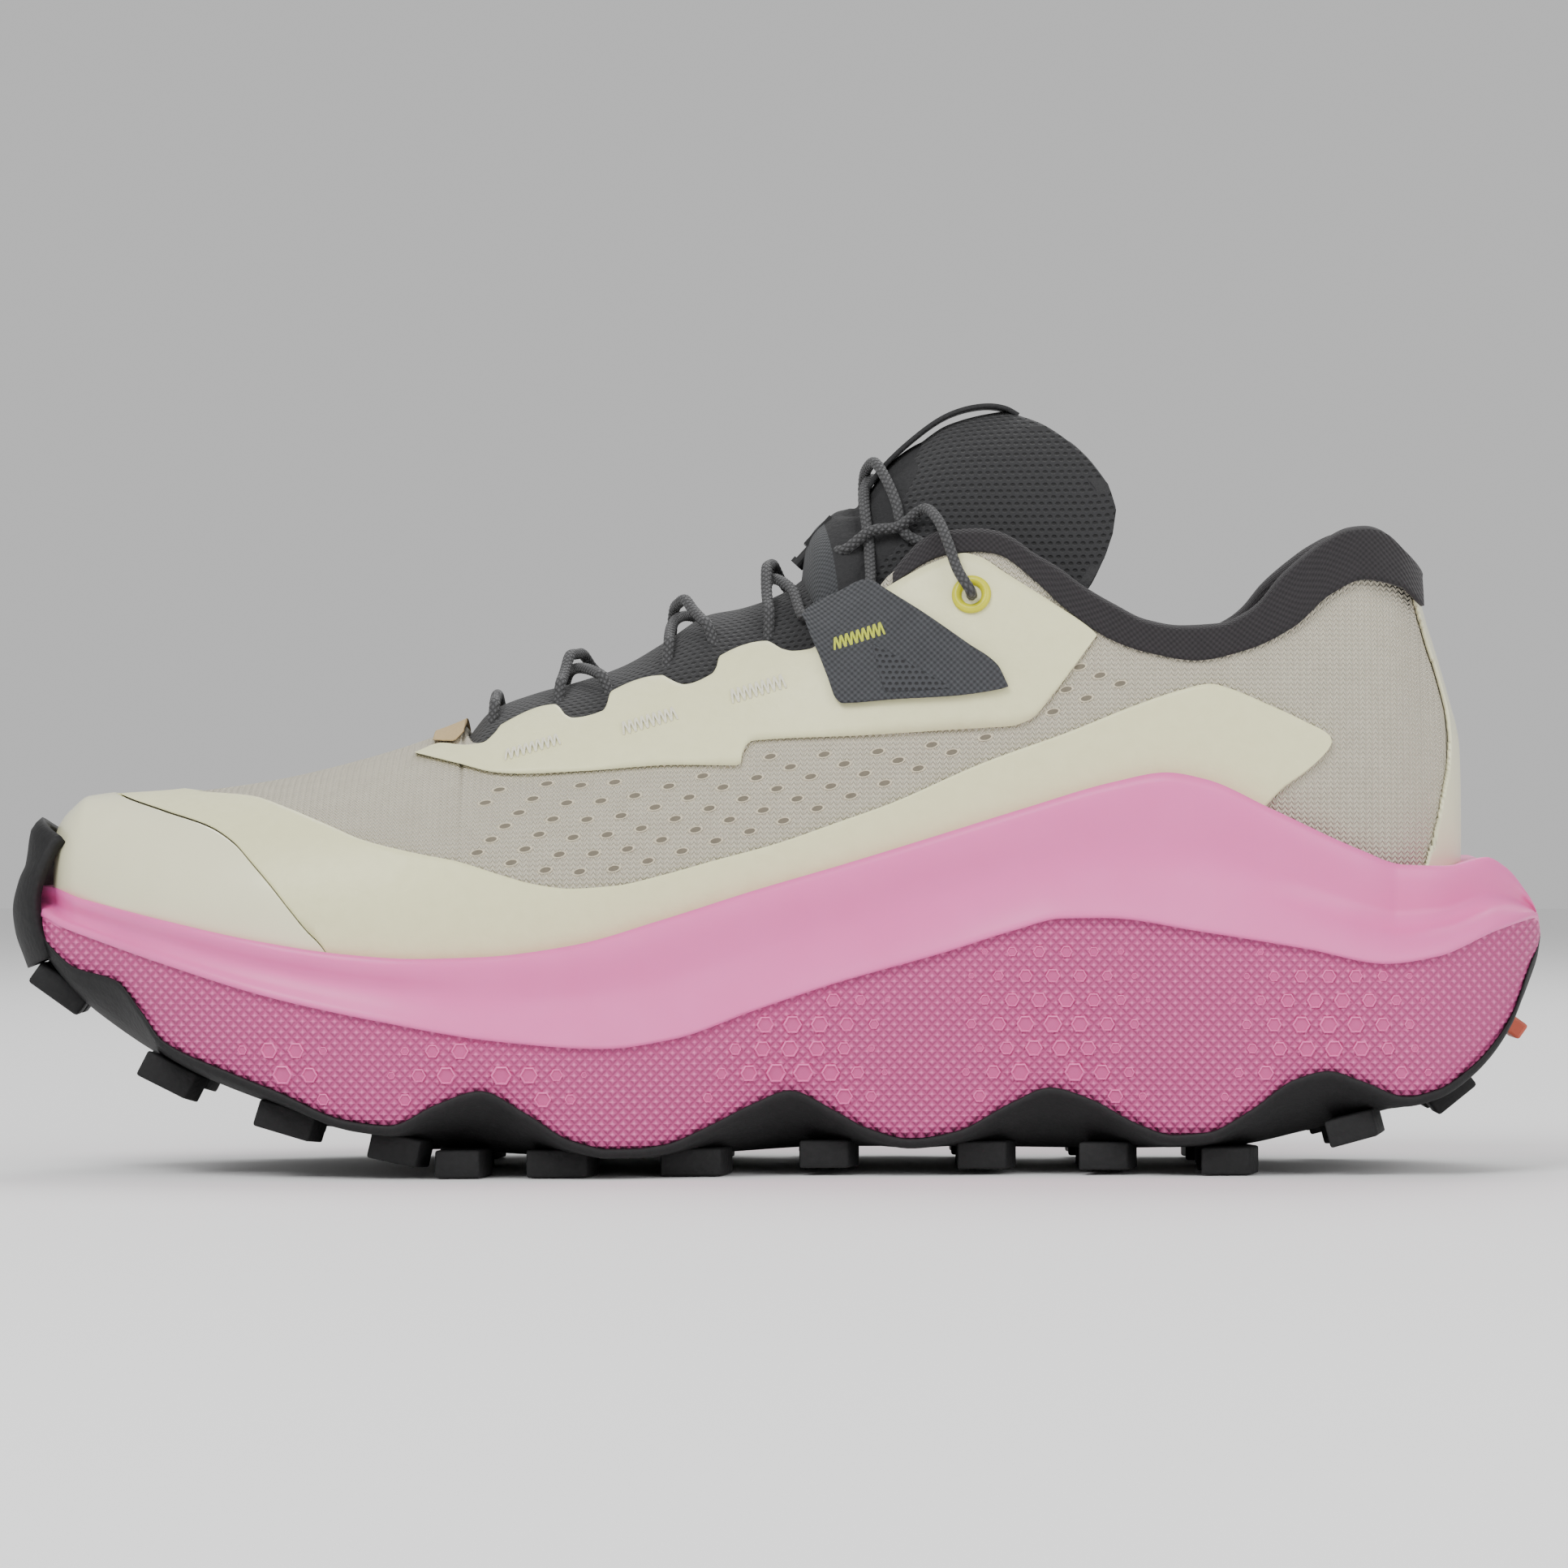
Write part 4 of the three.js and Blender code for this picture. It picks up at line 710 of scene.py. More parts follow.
# Films: thin cream sheets hot-pressed on the knit along the sole, over the toe
# and round the eyestay; the knit shows through them as a faint relief.
film = toned("film_cream", (0.80, 0.785, 0.48), (0.73, 0.715, 0.42), 0.42, 420, 0.4, 0.0004, Specular_IOR_Level=0.4)
gloss_film = toned("film_toe_gloss", (0.83, 0.81, 0.56), (0.79, 0.77, 0.52), 0.24, 160, 0.10, 0.0003,
    Coat_Weight=0.25, Coat_Roughness=0.2)
cap_rear = curve((-125.5, 71), (-123.3, 69.2), (-113.2, 65.7), (-104, 62.8), (-99.2, 59.9), (-95.5, 56.1),
    (-92, 52.2), (-88.6, 48), (-85.7, 44.5), (-82.4, 41), (-80, 36))
film_top = curve((-111, 71), (-110.3, 69.8), (-96.8, 68.5), (-89.7, 66.3), (-82.4, 63.4), (-75.2, 60.5), (-64.7, 58),
    (-59, 56.9), (-50.5, 54.3), (-44.7, 52.7), (-38.4, 51.9), (-30.3, 52.4), (-21.8, 54.3), (-13.2, 56.7),
    (-1.7, 59.8), (9.9, 63.8), (19.4, 67.2), (35.8, 74.4), (51.8, 80.2), (63.8, 85), (71.2, 87.5), (77.2, 88.8),
    (79.9, 88.2), (87.9, 84.9), (94.6, 81.8), (98.8, 79.4), (99.2, 78.3))
film_tail = curve((84, 62), (87.6, 67.2), (90.1, 69.8), (94.6, 73.1), (98.5, 76.9), (99.2, 78.2))


def cap_high(x):
    return np.where(x < -124.2, ridge(x) + 30, cap_rear(x))


def side_low(x):
    return np.maximum(np.where(x < -80, cap_rear(x) + 0.3, 0),
        np.where(x > 84, np.maximum(rim(x) - 2, film_tail(x)), rim(x) - 2))


def side_high(x):
    return np.where(x < -110.6, ridge(x) + 30, film_top(x))


toe_cap = finish_piece(shell(-133.9, -80.6, lambda x: rim(x) - 1.8, cap_high, -1.0, -0.1, 120, 26, crowd=0.8),
    "toe_cap_film", (gloss_film,), "shoe", ("toe_cap",))
side_film = finish_piece(shell(-124.4, 99.2, side_low, side_high, -0.75, -0.1, 420, 22, crowd=0.3), "side_film_sheet",
                         (film,), "shoe", ("side_film",))
eyestay_high = curve((-67.3, 76.5), (-62.5, 78.2), (-58, 77.8), (-54.7, 78.2), (-52.5, 80.1), (-51.5, 81.5),
    (-41.8, 85.2), (-40.9, 84.6), (-39.8, 83.3), (-38.4, 82.7), (-32.9, 84), (-32.2, 85.2), (-31.6, 87.5),
    (-22.2, 90.5), (-21.2, 90), (-19.4, 89.1), (-18.3, 88.8), (-13.2, 90.7), (-12.3, 92), (-11.8, 94), (-3.2, 96.8),
    (-2.2, 96.4), (-0.3, 95.3), (1.6, 94.9), (4.9, 95.3), (18.4, 106.3), (29, 111.7), (32.8, 112.7), (35.8, 111.9),
    (40, 109.2), (49, 103.4), (56, 98.5), (56.7, 97.7))
eyestay_low = curve((-67.3, 76.4), (-59, 74.4), (-51.6, 72.7), (-47.6, 72.5), (-36.1, 73), (-18.9, 74.1), (-8.6, 74),
    (-7.4, 74.6), (-7.6, 76.2), (-6.9, 77.6), (-5.6, 78.5), (14.8, 79.5), (35.8, 80.8), (41, 81.1), (43.2, 81.7),
    (45.1, 82.7), (49, 87.2), (56.7, 97.6))
for side, name in ((-1, "medial"), (1, "lateral")):
    stay = finish_piece(shell(-67.3, 56.7, eyestay_low, eyestay_high, -0.75, -0.1, 420, 14, sides=(side,), crowd=0.0),
                        f"eyestay_film_{name}_sheet", (film,), "shoe", (f"eyestay_film_{name}",))


def heel_strip_surface():
    whole = bmesh.new()
    xs = station_of(stations(112, UPPER_HEEL, 110, 1.0), -0.8)
    turn = angle_at(xs, 51.0, -0.8)[:, None] * np.linspace(1, 0, 90)[None, :]
    for side in (-1, 1):
        add_half(whole, lay_grid(foot_at(xs[:, None], turn, side, -0.8)))
    bmesh.ops.remove_doubles(whole, verts=whole.verts, dist=3e-5)
    edge = curve((50, 116.6), (56, 117.4), (60.9, 119), (67.6, 120.7), (73.3, 122.0), (79.5, 122.6), (84, 122.2),
        (89.8, 120.8), (95.6, 118.8), (103.2, 116.3), (107, 115))
    gone = [f for f in whole.faces if f.calc_center_median().x / MM < float(edge(f.calc_center_median().z / MM))
            or f.calc_center_median().z / MM > 105.5]
    bmesh.ops.delete(whole, geom=gone, context="FACES")
    bmesh.ops.recalc_face_normals(whole, faces=whole.faces)
    if sum(f.normal.x * f.calc_area() for f in whole.faces) < 0:
        bmesh.ops.reverse_faces(whole, faces=whole.faces)
    return whole


strip = finish_piece(heel_strip_surface(), "heel_strip_film", (gloss_film,), "shoe", ("heel_strip",), closed=False)
wall = strip.modifiers.new("wall", "SOLIDIFY")
wall.thickness = 0.0007

# Throat patch: small tan tape that closes the front of the throat.
tan_tape = toned("tape_tan", (0.50, 0.36, 0.17), (0.42, 0.30, 0.14), 0.75, 1400, 0.6)
patch = finish_piece(shell(-64.2, -58.6, curve((-64.2, 78.7), (-60.4, 78.5), (-58.6, 80.2)), lambda x: ridge(x) + 30,
    -0.9, 0.2, 24, 20, crowd=0.1), "throat_patch_tape", (tan_tape,), "shoe", ("throat_patch",))

# Vents: oblong openings knitted in sloping rows between the films.
# The floor of each vent is a dark sheet of painted shade, standing for the shadowed inside of the shoe seen through
# the opening.
vent_hole_painted_shade = toned("vent_hole_painted_shade", (0.13, 0.115, 0.085), (0.19, 0.165, 0.12), 0.9, 1500)
vent_rim = toned("vent_rim_yarn", (0.60, 0.545, 0.41), (0.52, 0.47, 0.35), 0.9, 800)


def on_upper(out):
    def frame_at(x, z, side):
        def at(px, pz):
            xs = station_of(px, -out)
            return Vector(foot_at(np.float64(xs), angle_at(xs, np.float64(pz), -out), side, -out).reshape(3)) * MM
        spot, along, up = at(x, z), at(x + 0.5, z) - at(x - 0.5, z), at(x, z + 0.5) - at(x, z - 0.5)
        along = along.normalized()
        outward = along.cross(up).normalized()
        if outward.y * side < 0:
            outward = -outward
        lift = outward.cross(along)
        if lift.z < 0:
            lift = -lift
        return spot, along, lift, outward
    return frame_at


oval = cell_template(12, 0, ((0.56, -0.08), (0.52, 0.09), (0.45, 0.09), (0.39, 0.03)))
vents = []
for row in range(12):
    for k in range(24):
        x = -55 + 6.1 * k + 3.05 * (row % 2) - 0.6 * row
        z = float(film_top(x)) + 2.6 + 3.1 * row + 0.02 * (x + 55)
        ceiling = float(eyestay_low(x)) if x < 44 else float(throat(x)) - 5
        if -56 < x < 66 and z < ceiling - 1.6:
            vents += [(x, z, side, 2.7, 1.25, 0.22) for side in (-1, 1)]
finish_piece(spread(oval, vents, on_upper(0.06)), "upper_vents", (vent_hole_painted_shade, vent_rim), "shoe", closed=False)

# Collar: black knitted lining rolled over a foam pad round the ankle; the roll
# shows as a black band above the knit and the lining runs down inside.
collar_top = curve((19.5, 109.2), (22, 112.2), (25, 115.2), (28.3, 116.8), (35.4, 117.3), (38.5, 116.9),
    (41.6, 115.6), (45.3, 112.9), (49.8, 110.2), (54.6, 106.6), (60.2, 103.3), (65.7, 100.6), (72, 99.5),
    (79.1, 99.9), (83.4, 101.7), (86.2, 103.8), (90.1, 108.5), (94.6, 112.5), (98.9, 115.6), (103, 117.5),
    (106.5, 117.9), (109.7, 117.2), (113.2, 114.3), (116.4, 111.4), (119, 108.4))


def pad_depth(x):
    return 3.6 + 4.4 * ease(46, 78, x)


# Soft brushed textile with short crossing ribs.
weave, weave_in, weave_out = group("plain_weave", (("Vector", "NodeSocketVector", None),
    ("Pitch", "NodeSocketFloat", 0.0009)), (("Height", "NodeSocketFloat"),))
axes = node(weave, "ShaderNodeSeparateXYZ", weave_in["Vector"]).outputs
turns = maths(weave, "DIVIDE", 2 * math.pi, weave_in["Pitch"])
warp = maths(weave, "SINE", maths(weave, "MULTIPLY", axes["X"], turns))
weft = maths(weave, "SINE", maths(weave, "MULTIPLY", axes["Y"], turns))
weave.links.new(maths(weave, "ADD", maths(weave, "MULTIPLY", maths(weave, "MULTIPLY", warp, weft), 0.5), 0.5),
    weave_out["Height"])
lining = cloth("lining_black", weave, (0.026, 0.0225, 0.025), (0.007, 0.006, 0.007), 0.9, 0.0003, 0.08, Pitch=0.0011)


def collar_surface():
    whole = bmesh.new()
    xs_real = stations(19.8, 117.2, 200, 0.75)
    for side in (-1, 1):
        low, high = throat(xs_real) - 2.2, collar_top(xs_real)
        columns = []
        for z0, z1, d, steps in ((low, high - 0.9, lambda x: -0.9 - 1.2 * ease(100, 116, x), 10),
                (high, high, lambda x: pad_depth(x) * 0.3, 1), (high - 0.1, high, lambda x: pad_depth(x) * 0.6, 1),
                (high - 1.4, low - 26, pad_depth, 26)):
            xs = station_of(xs_real, d)
            t = np.linspace(0, 1, steps)[None, :] if steps > 1 else np.array([[0.0]])
            z = z0[:, None] + (z1 - z0)[:, None] * t
            columns.append(foot_at(xs[:, None], angle_at(xs[:, None], z, d), side, d))
        add_half(whole, lay_grid(np.concatenate(columns, axis=1)))
    bmesh.ops.remove_doubles(whole, verts=whole.verts, dist=3e-5)
    bmesh.ops.recalc_face_normals(whole, faces=whole.faces)
    return whole


collar = finish_piece(collar_surface(), "collar_lining_roll", (lining,), "shoe",
    ("collar_lining_medial", "collar_lining_lateral"), closed=False)
wall = collar.modifiers.new("wall", "SOLIDIFY")
wall.thickness = 0.0007
foam_cut = toned("collar_foam_cream", (0.66, 0.60, 0.36), (0.56, 0.50, 0.29), 0.95, 1500, 0.7)
board_cloth = toned("board_cloth", (0.60, 0.56, 0.46), (0.52, 0.48, 0.38), 0.95, 1200, 0.6)
dark_cloth = toned("brushed_cloth_dark", (0.030, 0.028, 0.031), (0.05, 0.047, 0.052), 0.95, 1300, 0.8)


def dress(name, finish):
    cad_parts[name].data.materials.clear()
    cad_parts[name].data.materials.append(finish)


for name, finish in (("collar_foam", foam_cut), ("strobel_board", board_cloth), ("toe_puff", board_cloth),
                     ("heel_counter", foam_cut), ("heel_lining", dark_cloth)):
    dress(name, finish)

# Sockliner: textile over a moulded foam cup, loose in the shoe, so it lifts out.
def sockliner():
    xs = stations(-126, 114, 120, 0.7)
    t = np.linspace(-1, 1, 41)[None, :]
    reach = (half_width(xs) - 6.8 - 2.4 * ease(20, 60, xs)) * np.sqrt(np.clip(1 - ((xs + 6) / 121.5) ** 24, 0.02, 1))
    y = centre(xs)[:, None] + reach[:, None] * np.sin(t * math.pi / 2)
    cup = (1.6 + 3.0 * ease(-30, 60, xs))[:, None] * np.abs(t) ** 5
    z = under_foot(xs)[:, None] + 1.9 + cup
    top, under = (np.stack(np.broadcast_arrays(xs[:, None], y, z + rise), -1) for rise in (3.8, 0))
    bm = lay_grid(np.concatenate((top, under[:, ::-1], top[:, :1]), axis=1))
    bmesh.ops.remove_doubles(bm, verts=bm.verts, dist=1e-6)
    bmesh.ops.holes_fill(bm, edges=[e for e in bm.edges if e.is_boundary], sides=0)
    return bm


sock_cloth = cloth("sockliner_textile", weave, (0.075, 0.075, 0.085), (0.035, 0.035, 0.04), 0.95, 0.0003,
    Pitch=0.0013)
sock = finish_piece(sockliner(), "sockliner_cup", (sock_cloth,), "insole", ("insole",))

# Tongue: padded black air mesh in one piece from the throat to the ankle, so
# its fabric bends where the top folds; binding tape closes the upper edge.
tongue_ridge = curve((-134, 57), (-72, 73), (-60, 77.6), (-54, 84.2), (-46, 87.4), (-38, 89.6), (-30, 92.4),
    (-22, 97), (-14, 102), (-8, 103.2), (0, 106.2), (8, 112.8), (12, 116.9), (16, 122.6), (20, 128.6), (25.4, 134),
    (30.6, 137.4), (38, 139.4), (46, 140.4), (90, 142), (112, 120), (124.7, 64))


def tongue_slim(x):
    return 3.5 + 6 * ease(8, 22, x)


def tongue_thick(x):
    return 2.8 + 4.8 * ease(-5, 24, x)


top_edge = curve((39.5, 143), (40.5, 140.0), (43, 139.0), (47.3, 137.3), (51.4, 134.6), (55.4, 130.9), (58.0, 127.6),
    (59.9, 124.4), (60.8, 121.4))
tongue_side = curve((-60, 74), (-40, 78), (-20, 84), (0, 90), (12, 96), (20, 103), (30, 108), (36, 106.5),
    (44, 104.4), (54.5, 105.5), (58.6, 112), (60.2, 117), (60.8, 120.9))


def tongue_top_line(x):
    return np.where(x < 39.8, tongue_ridge(x) + 30, top_edge(x))


# Air mesh: round holes in offset rows, painted darker as painted shade in the hollows where the backing shows
# through.
mesh_holes, mesh_in, mesh_out = group("air_mesh", (("Vector", "NodeSocketVector", None),
    ("Pitch", "NodeSocketFloat", 0.0014)), (("Height", "NodeSocketFloat"),))
axes = node(mesh_holes, "ShaderNodeSeparateXYZ", mesh_in["Vector"]).outputs
over = maths(mesh_holes, "DIVIDE", axes["X"], mesh_in["Pitch"])
along = maths(mesh_holes, "DIVIDE", axes["Y"], maths(mesh_holes, "MULTIPLY", mesh_in["Pitch"], 0.866))
shifted = maths(mesh_holes, "ADD", over, maths(mesh_holes, "MULTIPLY",
    maths(mesh_holes, "MODULO", maths(mesh_holes, "FLOOR", along), 2.0), 0.5))
dx = maths(mesh_holes, "SUBTRACT", maths(mesh_holes, "FRACT", shifted), 0.5)
dy = maths(mesh_holes, "SUBTRACT", maths(mesh_holes, "FRACT", along), 0.5)
far = maths(mesh_holes, "SQRT", maths(mesh_holes, "ADD", maths(mesh_holes, "MULTIPLY", dx, dx),
    maths(mesh_holes, "MULTIPLY", dy, dy)))
mesh_holes.links.new(node(mesh_holes, "ShaderNodeMapRange", far, 0.16, 0.36).outputs[0], mesh_out["Height"])
air_mesh = cloth("tongue_air_mesh", mesh_holes, (0.016, 0.016, 0.0175), (0.0015, 0.0015, 0.0015), 0.85, 0.0006, 0.1,
    Pitch=0.0015)
tongue = finish_piece(shell(-60, 60.8, tongue_side, tongue_top_line, 0.0, tongue_thick, 300, 36, tongue_ridge,
    tongue_slim, crowd=0.2, bulge=0.7), "tongue_padded_mesh", (air_mesh,), "shoe", ("tongue_lower", "tongue_top"))
tongue.parent = None
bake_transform(tongue)
binding_tape = toned("binding_tape", (0.010, 0.010, 0.011), (0.022, 0.022, 0.023), 0.75, 1500, 0.8)
dress("tongue_binding", binding_tape)

# Lace: round braided cord, threaded through the folds of the eyestay, crossed
# over the tongue, out through the eyelets and back into the lock in the pocket.
LACE_R = 1.0
TABS = (((-50.2, 80.2), (-42.8, 82.6)), ((-30.4, 86.2), (-22.8, 88.5)), ((-10.8, 92.7), (-4, 94.9)))
WING_FOLD = ((4.6, 101.9), (14.4, 106.2))
LACE_ROWS = (((-41.2, 83.4), (-32, 85.6), 2, 0.2), ((-21.2, 89.2), (-12.6, 91.8), 2.6, 0.4),
    ((-2.4, 95.6), (2.8, 100.6), 3, 1.2), ((16.2, 107.2), (24, 114.6), 4.6, 2.4))
LOCK = dict(x=7.3, z=116.7, tilt=-0.83, width=11, length=7, thick=3.4)


def side_y(d, x, z, side):
    g = (z - widest(x)) / (ridge(x) - d - widest(x))
    return float(centre(x) + side * (half_width(x) - d) * math.sqrt(max(0, 1 - g * g)))


def fold_point(p, side, depth=2.6):
    return Vector((p[0], side_y(depth, p[0], p[1], side), p[1]))


def tongue_z(x, y):
    w = float(half_width(x) - tongue_slim(x))
    r = min(0.97, abs(y - float(centre(x))) / w)
    return float(widest(x) + (tongue_ridge(x) - widest(x)) * math.sqrt(1 - r * r))


def eyelet_axis(side):
    x, z = 34.2, 104.7
    dx = side_y(0, x + 1, z, side) - side_y(0, x - 1, z, side)
    dz = side_y(0, x, z + 1, side) - side_y(0, x, z - 1, side)
    return Vector((x, side_y(0, x, z, side), z)), Vector((-dx / 2, 1, -dz / 2)).normalized() * side


def lace_half(side, over):
    points, s = [], side

    def straight(pair, depth):
        a, b = fold_point(pair[0], s, depth), fold_point(pair[1], s, depth)
        points.extend(a.lerp(b, t) for t in (-0.1, 0, 0.5, 1, 1.1))
    straight(TABS[0], 2.6)
    for k, (start, stop, back, lift) in enumerate(LACE_ROWS):
        a, b = fold_point(start, s), fold_point(stop, -s)
        for t in (0.08, 0.16, 0.26, 0.38, 0.5, 0.62, 0.74, 0.84, 0.92):
            p = a.lerp(b, t)
            middle = 1 - min(1, abs(t - 0.5) / 0.3)
            x = p.x - back * math.sin(math.pi * t)
            rest = tongue_z(x, p.y) + LACE_R + lift * math.sin(math.pi * t) ** 0.4 + 1.4
            z = max(rest, p.z + 1.2) + (2.7 * float(ease(0, 0.55, middle)) if over else 0)
            points.append(Vector((x, p.y, z)))
        s = -s
        if k < 2:
            straight(TABS[k + 1], 2.6)
        if k == 2:
            straight(WING_FOLD, -0.6)

    def at(x, z, d):
        return Vector((x, side_y(d, x, z, s), z))
    hole, axis = eyelet_axis(s)
    points.extend((at(27.4, 113.8, 5.2), at(31.6, 109.6, 5.6), hole - axis * 4.6, hole, hole + axis * 4.6,
        at(31.6, 109.4, -4.6), at(29.8, 114.6, -4), at(28, 119, -2), at(25.4, 121, 1.6)))
    y = float(centre(10))
    for x, w, up in ((21, 18.4, 6.4), (16, 18, 7.4), (11.2, 17, 6), (8.8, 12.5, 4.4)):
        points.append(Vector((x, y + s * w, tongue_z(x, y + s * w) + up)))
    points.append(Vector((LOCK["x"], y + s * (LOCK["width"] / 2 + 1.2), LOCK["z"])))
    return points


def smooth_route(points, step):
    """Centripetal spline through the points, cut into equal steps."""
    p = [2 * points[0] - points[1]] + points + [2 * points[-1] - points[-2]]
    fine = []
    for i in range(1, len(p) - 2):
        knots = [0.0]
        for k in range(3):
            knots.append(knots[-1] + max(1e-6, (p[i + k] - p[i + k - 1]).length) ** 0.5)
        t0, t1, t2, t3 = knots
        for n in range(16):
            t = t1 + (t2 - t1) * n / 16
            a1 = p[i - 1] * ((t1 - t) / (t1 - t0)) + p[i] * ((t - t0) / (t1 - t0))
            a2 = p[i] * ((t2 - t) / (t2 - t1)) + p[i + 1] * ((t - t1) / (t2 - t1))
            a3 = p[i + 1] * ((t3 - t) / (t3 - t2)) + p[i + 2] * ((t - t2) / (t3 - t2))
            b1 = a1 * ((t2 - t) / (t2 - t0)) + a2 * ((t - t0) / (t2 - t0))
            b2 = a2 * ((t3 - t) / (t3 - t1)) + a3 * ((t - t1) / (t3 - t1))
            fine.append(b1 * ((t2 - t) / (t2 - t1)) + b2 * ((t - t1) / (t2 - t1)))
    fine.append(points[-1].copy())
    line = np.array([tuple(v) for v in fine])
    run = np.concatenate(([0], np.cumsum(np.linalg.norm(np.diff(line, axis=0), axis=1))))
    at = np.linspace(0, run[-1], int(run[-1] / step) + 1)
    return np.stack([np.interp(at, run, line[:, k]) for k in range(3)], 1), at


start, end = fold_point((-53, 79.6), -1, 2), fold_point((-53, 79.6), 1, 2)
bar = []
for t in (0.07, 0.2, 0.34, 0.5, 0.66, 0.8, 0.93):
    p = start.lerp(end, t)
    bar.append(Vector((p.x, p.y, tongue_z(p.x, p.y) + 2.4)))
route, travelled = smooth_route(lace_half(-1, True)[::-1] + [start] + bar + [end] + lace_half(1, False), 0.34)


def lace_surface(line, run, radius, around=20):
    tangent = np.gradient(line, axis=0)
    tangent /= np.linalg.norm(tangent, axis=1, keepdims=True)
    normal = np.zeros_like(line)
    n = np.cross(tangent[0], (0, 0, 1.0))
    for i, tng in enumerate(tangent):
        n = n - tng * np.dot(n, tng)
        n /= np.linalg.norm(n)
        normal[i] = n
    other = np.cross(tangent, normal)
    a = np.linspace(0, 2 * math.pi, around + 1)
    braid = np.abs(np.sin(4 * a[None, :] + run[:, None] * 2.3)) * np.abs(np.sin(4 * a[None, :] - run[:, None] * 2.3))
    r = radius * (0.93 + 0.13 * braid)
    r[0] = r[-1] = 0
    points = line[:, None] + r[:, :, None] * (np.cos(a)[None, :, None] * normal[:, None] + np.sin(a)[None, :,
        None] * other[:, None])
    uv = np.stack((np.broadcast_to(run[:, None], r.shape), np.broadcast_to(a[None, :] * radius, r.shape)), -1)
    return lay_grid(points, uv)


braid, braid_in, braid_out = group("braid", (("Vector", "NodeSocketVector", None),
    ("Pitch", "NodeSocketFloat", 0.0012)), (("Height", "NodeSocketFloat"),))
axes = node(braid, "ShaderNodeSeparateXYZ", braid_in["Vector"]).outputs
turns = maths(braid, "DIVIDE", 2 * math.pi, braid_in["Pitch"])
lines = [maths(braid, "ABSOLUTE", maths(braid, "SINE",
    maths(braid, "MULTIPLY", maths(braid, kind, axes["X"], axes["Y"]), turns))) for kind in ("ADD", "SUBTRACT")]
braid.links.new(maths(braid, "MULTIPLY", *lines), braid_out["Height"])
lace_cloth = cloth("lace_braid_black", braid, (0.075, 0.075, 0.078), (0.006, 0.006, 0.0065), 0.7, 0.0003, 0.1,
    Pitch=0.0025)
lace = finish_piece(lace_surface(route, travelled, LACE_R), "lace_cord", (lace_cloth,), "shoe", ("lace",))

# Pull strap: flat tape sewn down at both ends over the front of the tongue, with
# a free span for a finger.
webbing = toned("webbing_black", (0.010, 0.010, 0.011), (0.022, 0.022, 0.023), 0.85, 1400, 0.8)


def tape(name, path, width, thick, y_at, finish, body, replaced):
    line = np.array([tuple(v) for v in smooth_route([Vector((x, 0, z)) for x, z in path], 0.4)[0].tolist()])
    tangent = np.gradient(line, axis=0)
    tangent /= np.linalg.norm(tangent, axis=1, keepdims=True)
    normal = np.stack((-tangent[:, 2], 0 * tangent[:, 0], tangent[:, 0]), 1)
    across = ((-1, 0.35), (-0.97, 0.9), (-0.5, 1.0), (0, 1.0), (0.5, 1.0), (0.97, 0.9), (1, 0.35), (0.97, 0), (0, 0),
        (-0.97, 0), (-1, 0.35))
    points = np.stack([line + normal * (h * thick) + np.array((0, y_at + u * width / 2, 0)) for u, h in across], 1)
    bm = lay_grid(points)
    bmesh.ops.remove_doubles(bm, verts=bm.verts, dist=1e-6)
    bmesh.ops.holes_fill(bm, edges=[e for e in bm.edges if e.is_boundary], sides=0)
    return finish_piece(bm, name, (finish,), body, replaced)


strap = tape("pull_strap_tape", ((15.6, 124.6), (17.8, 128.0), (22.6, 132.9), (29.2, 137.9), (33.6, 139.7),
    (38, 140.3), (41, 139.8), (43.2, 138.6)), 11, 0.9, float(centre(30)), webbing, "tongue_flap",
    ("tongue_pull_strap",))

# Lace pocket: stretch mesh cover on the tongue with an elastic band round its
# mouth; ribbed folds gather it where it runs out up the tongue.
pocket_height = curve((3.2, -0.6), (3.9, 4.4), (4.9, 6.8), (6.2, 7.3), (9, 7.0), (12, 4.6), (13.6, 2.8), (18, 2.0),
    (24, 0.5), (27, -0.4))
band_charcoal = cloth("band_charcoal", weave, (0.050, 0.053, 0.058), (0.012, 0.013, 0.014), 0.8, 0.0003, 0.1,
    Pitch=0.0009)
pocket_x = np.linspace(3.2, 27, 90)
pocket_s = np.linspace(-1, 1, 61)
pocket_points = np.zeros((90, 61, 3))
for i, x in enumerate(pocket_x):
    for j, q in enumerate(pocket_s):
        px = x + 3.2 * abs(q) ** 2.2
        y = float(centre(px)) + 21.5 * q
        fold = 0.42 * math.sin(23 * q + 0.5 * math.sin(5 * q)) * float(ease(8, 13, x) * (1 - ease(20, 27, x)))
        lift = (float(pocket_height(x)) + fold) * (1 - abs(q) ** 7) - 0.5 * abs(q) ** 7
        pocket_points[i, j] = (px, y, tongue_z(px, y) + lift)
cover = lay_grid(pocket_points)
for f in cover.faces:
    c = f.calc_center_median() / MM
    q = (c.y - float(centre(c.x))) / 21.5
    f.material_index = 1 if c.x - 3.2 * abs(q) ** 2.2 < 7.2 else 0
pocket = finish_piece(cover, "lace_pocket_cover", (webbing, band_charcoal), "shoe", ("lace_pocket", "pocket_band"),
    closed=False)
wall = pocket.modifiers.new("wall", "SOLIDIFY")
wall.thickness = 0.0006

# Lace loops and lock: short folds of webbing sewn under the tabs, and a moulded
# cord lock in the pocket. They keep their CAD shapes and take their finishes here.
for name in [f"lace_loop_{s}_{k}" for s in ("medial", "lateral") for k in (1, 2, 3)]:
    dress(name, webbing)
lock_plastic = toned("lock_plastic", (0.005, 0.005, 0.0055), (0.008, 0.008, 0.0085), 0.6, 200)
lime_plastic = toned("lime_plastic", (0.62, 0.60, 0.008), (0.58, 0.56, 0.008), 0.35, 200)
for name in ("lace_lock_body", "lace_lock_button"):
    dress(name, lock_plastic)

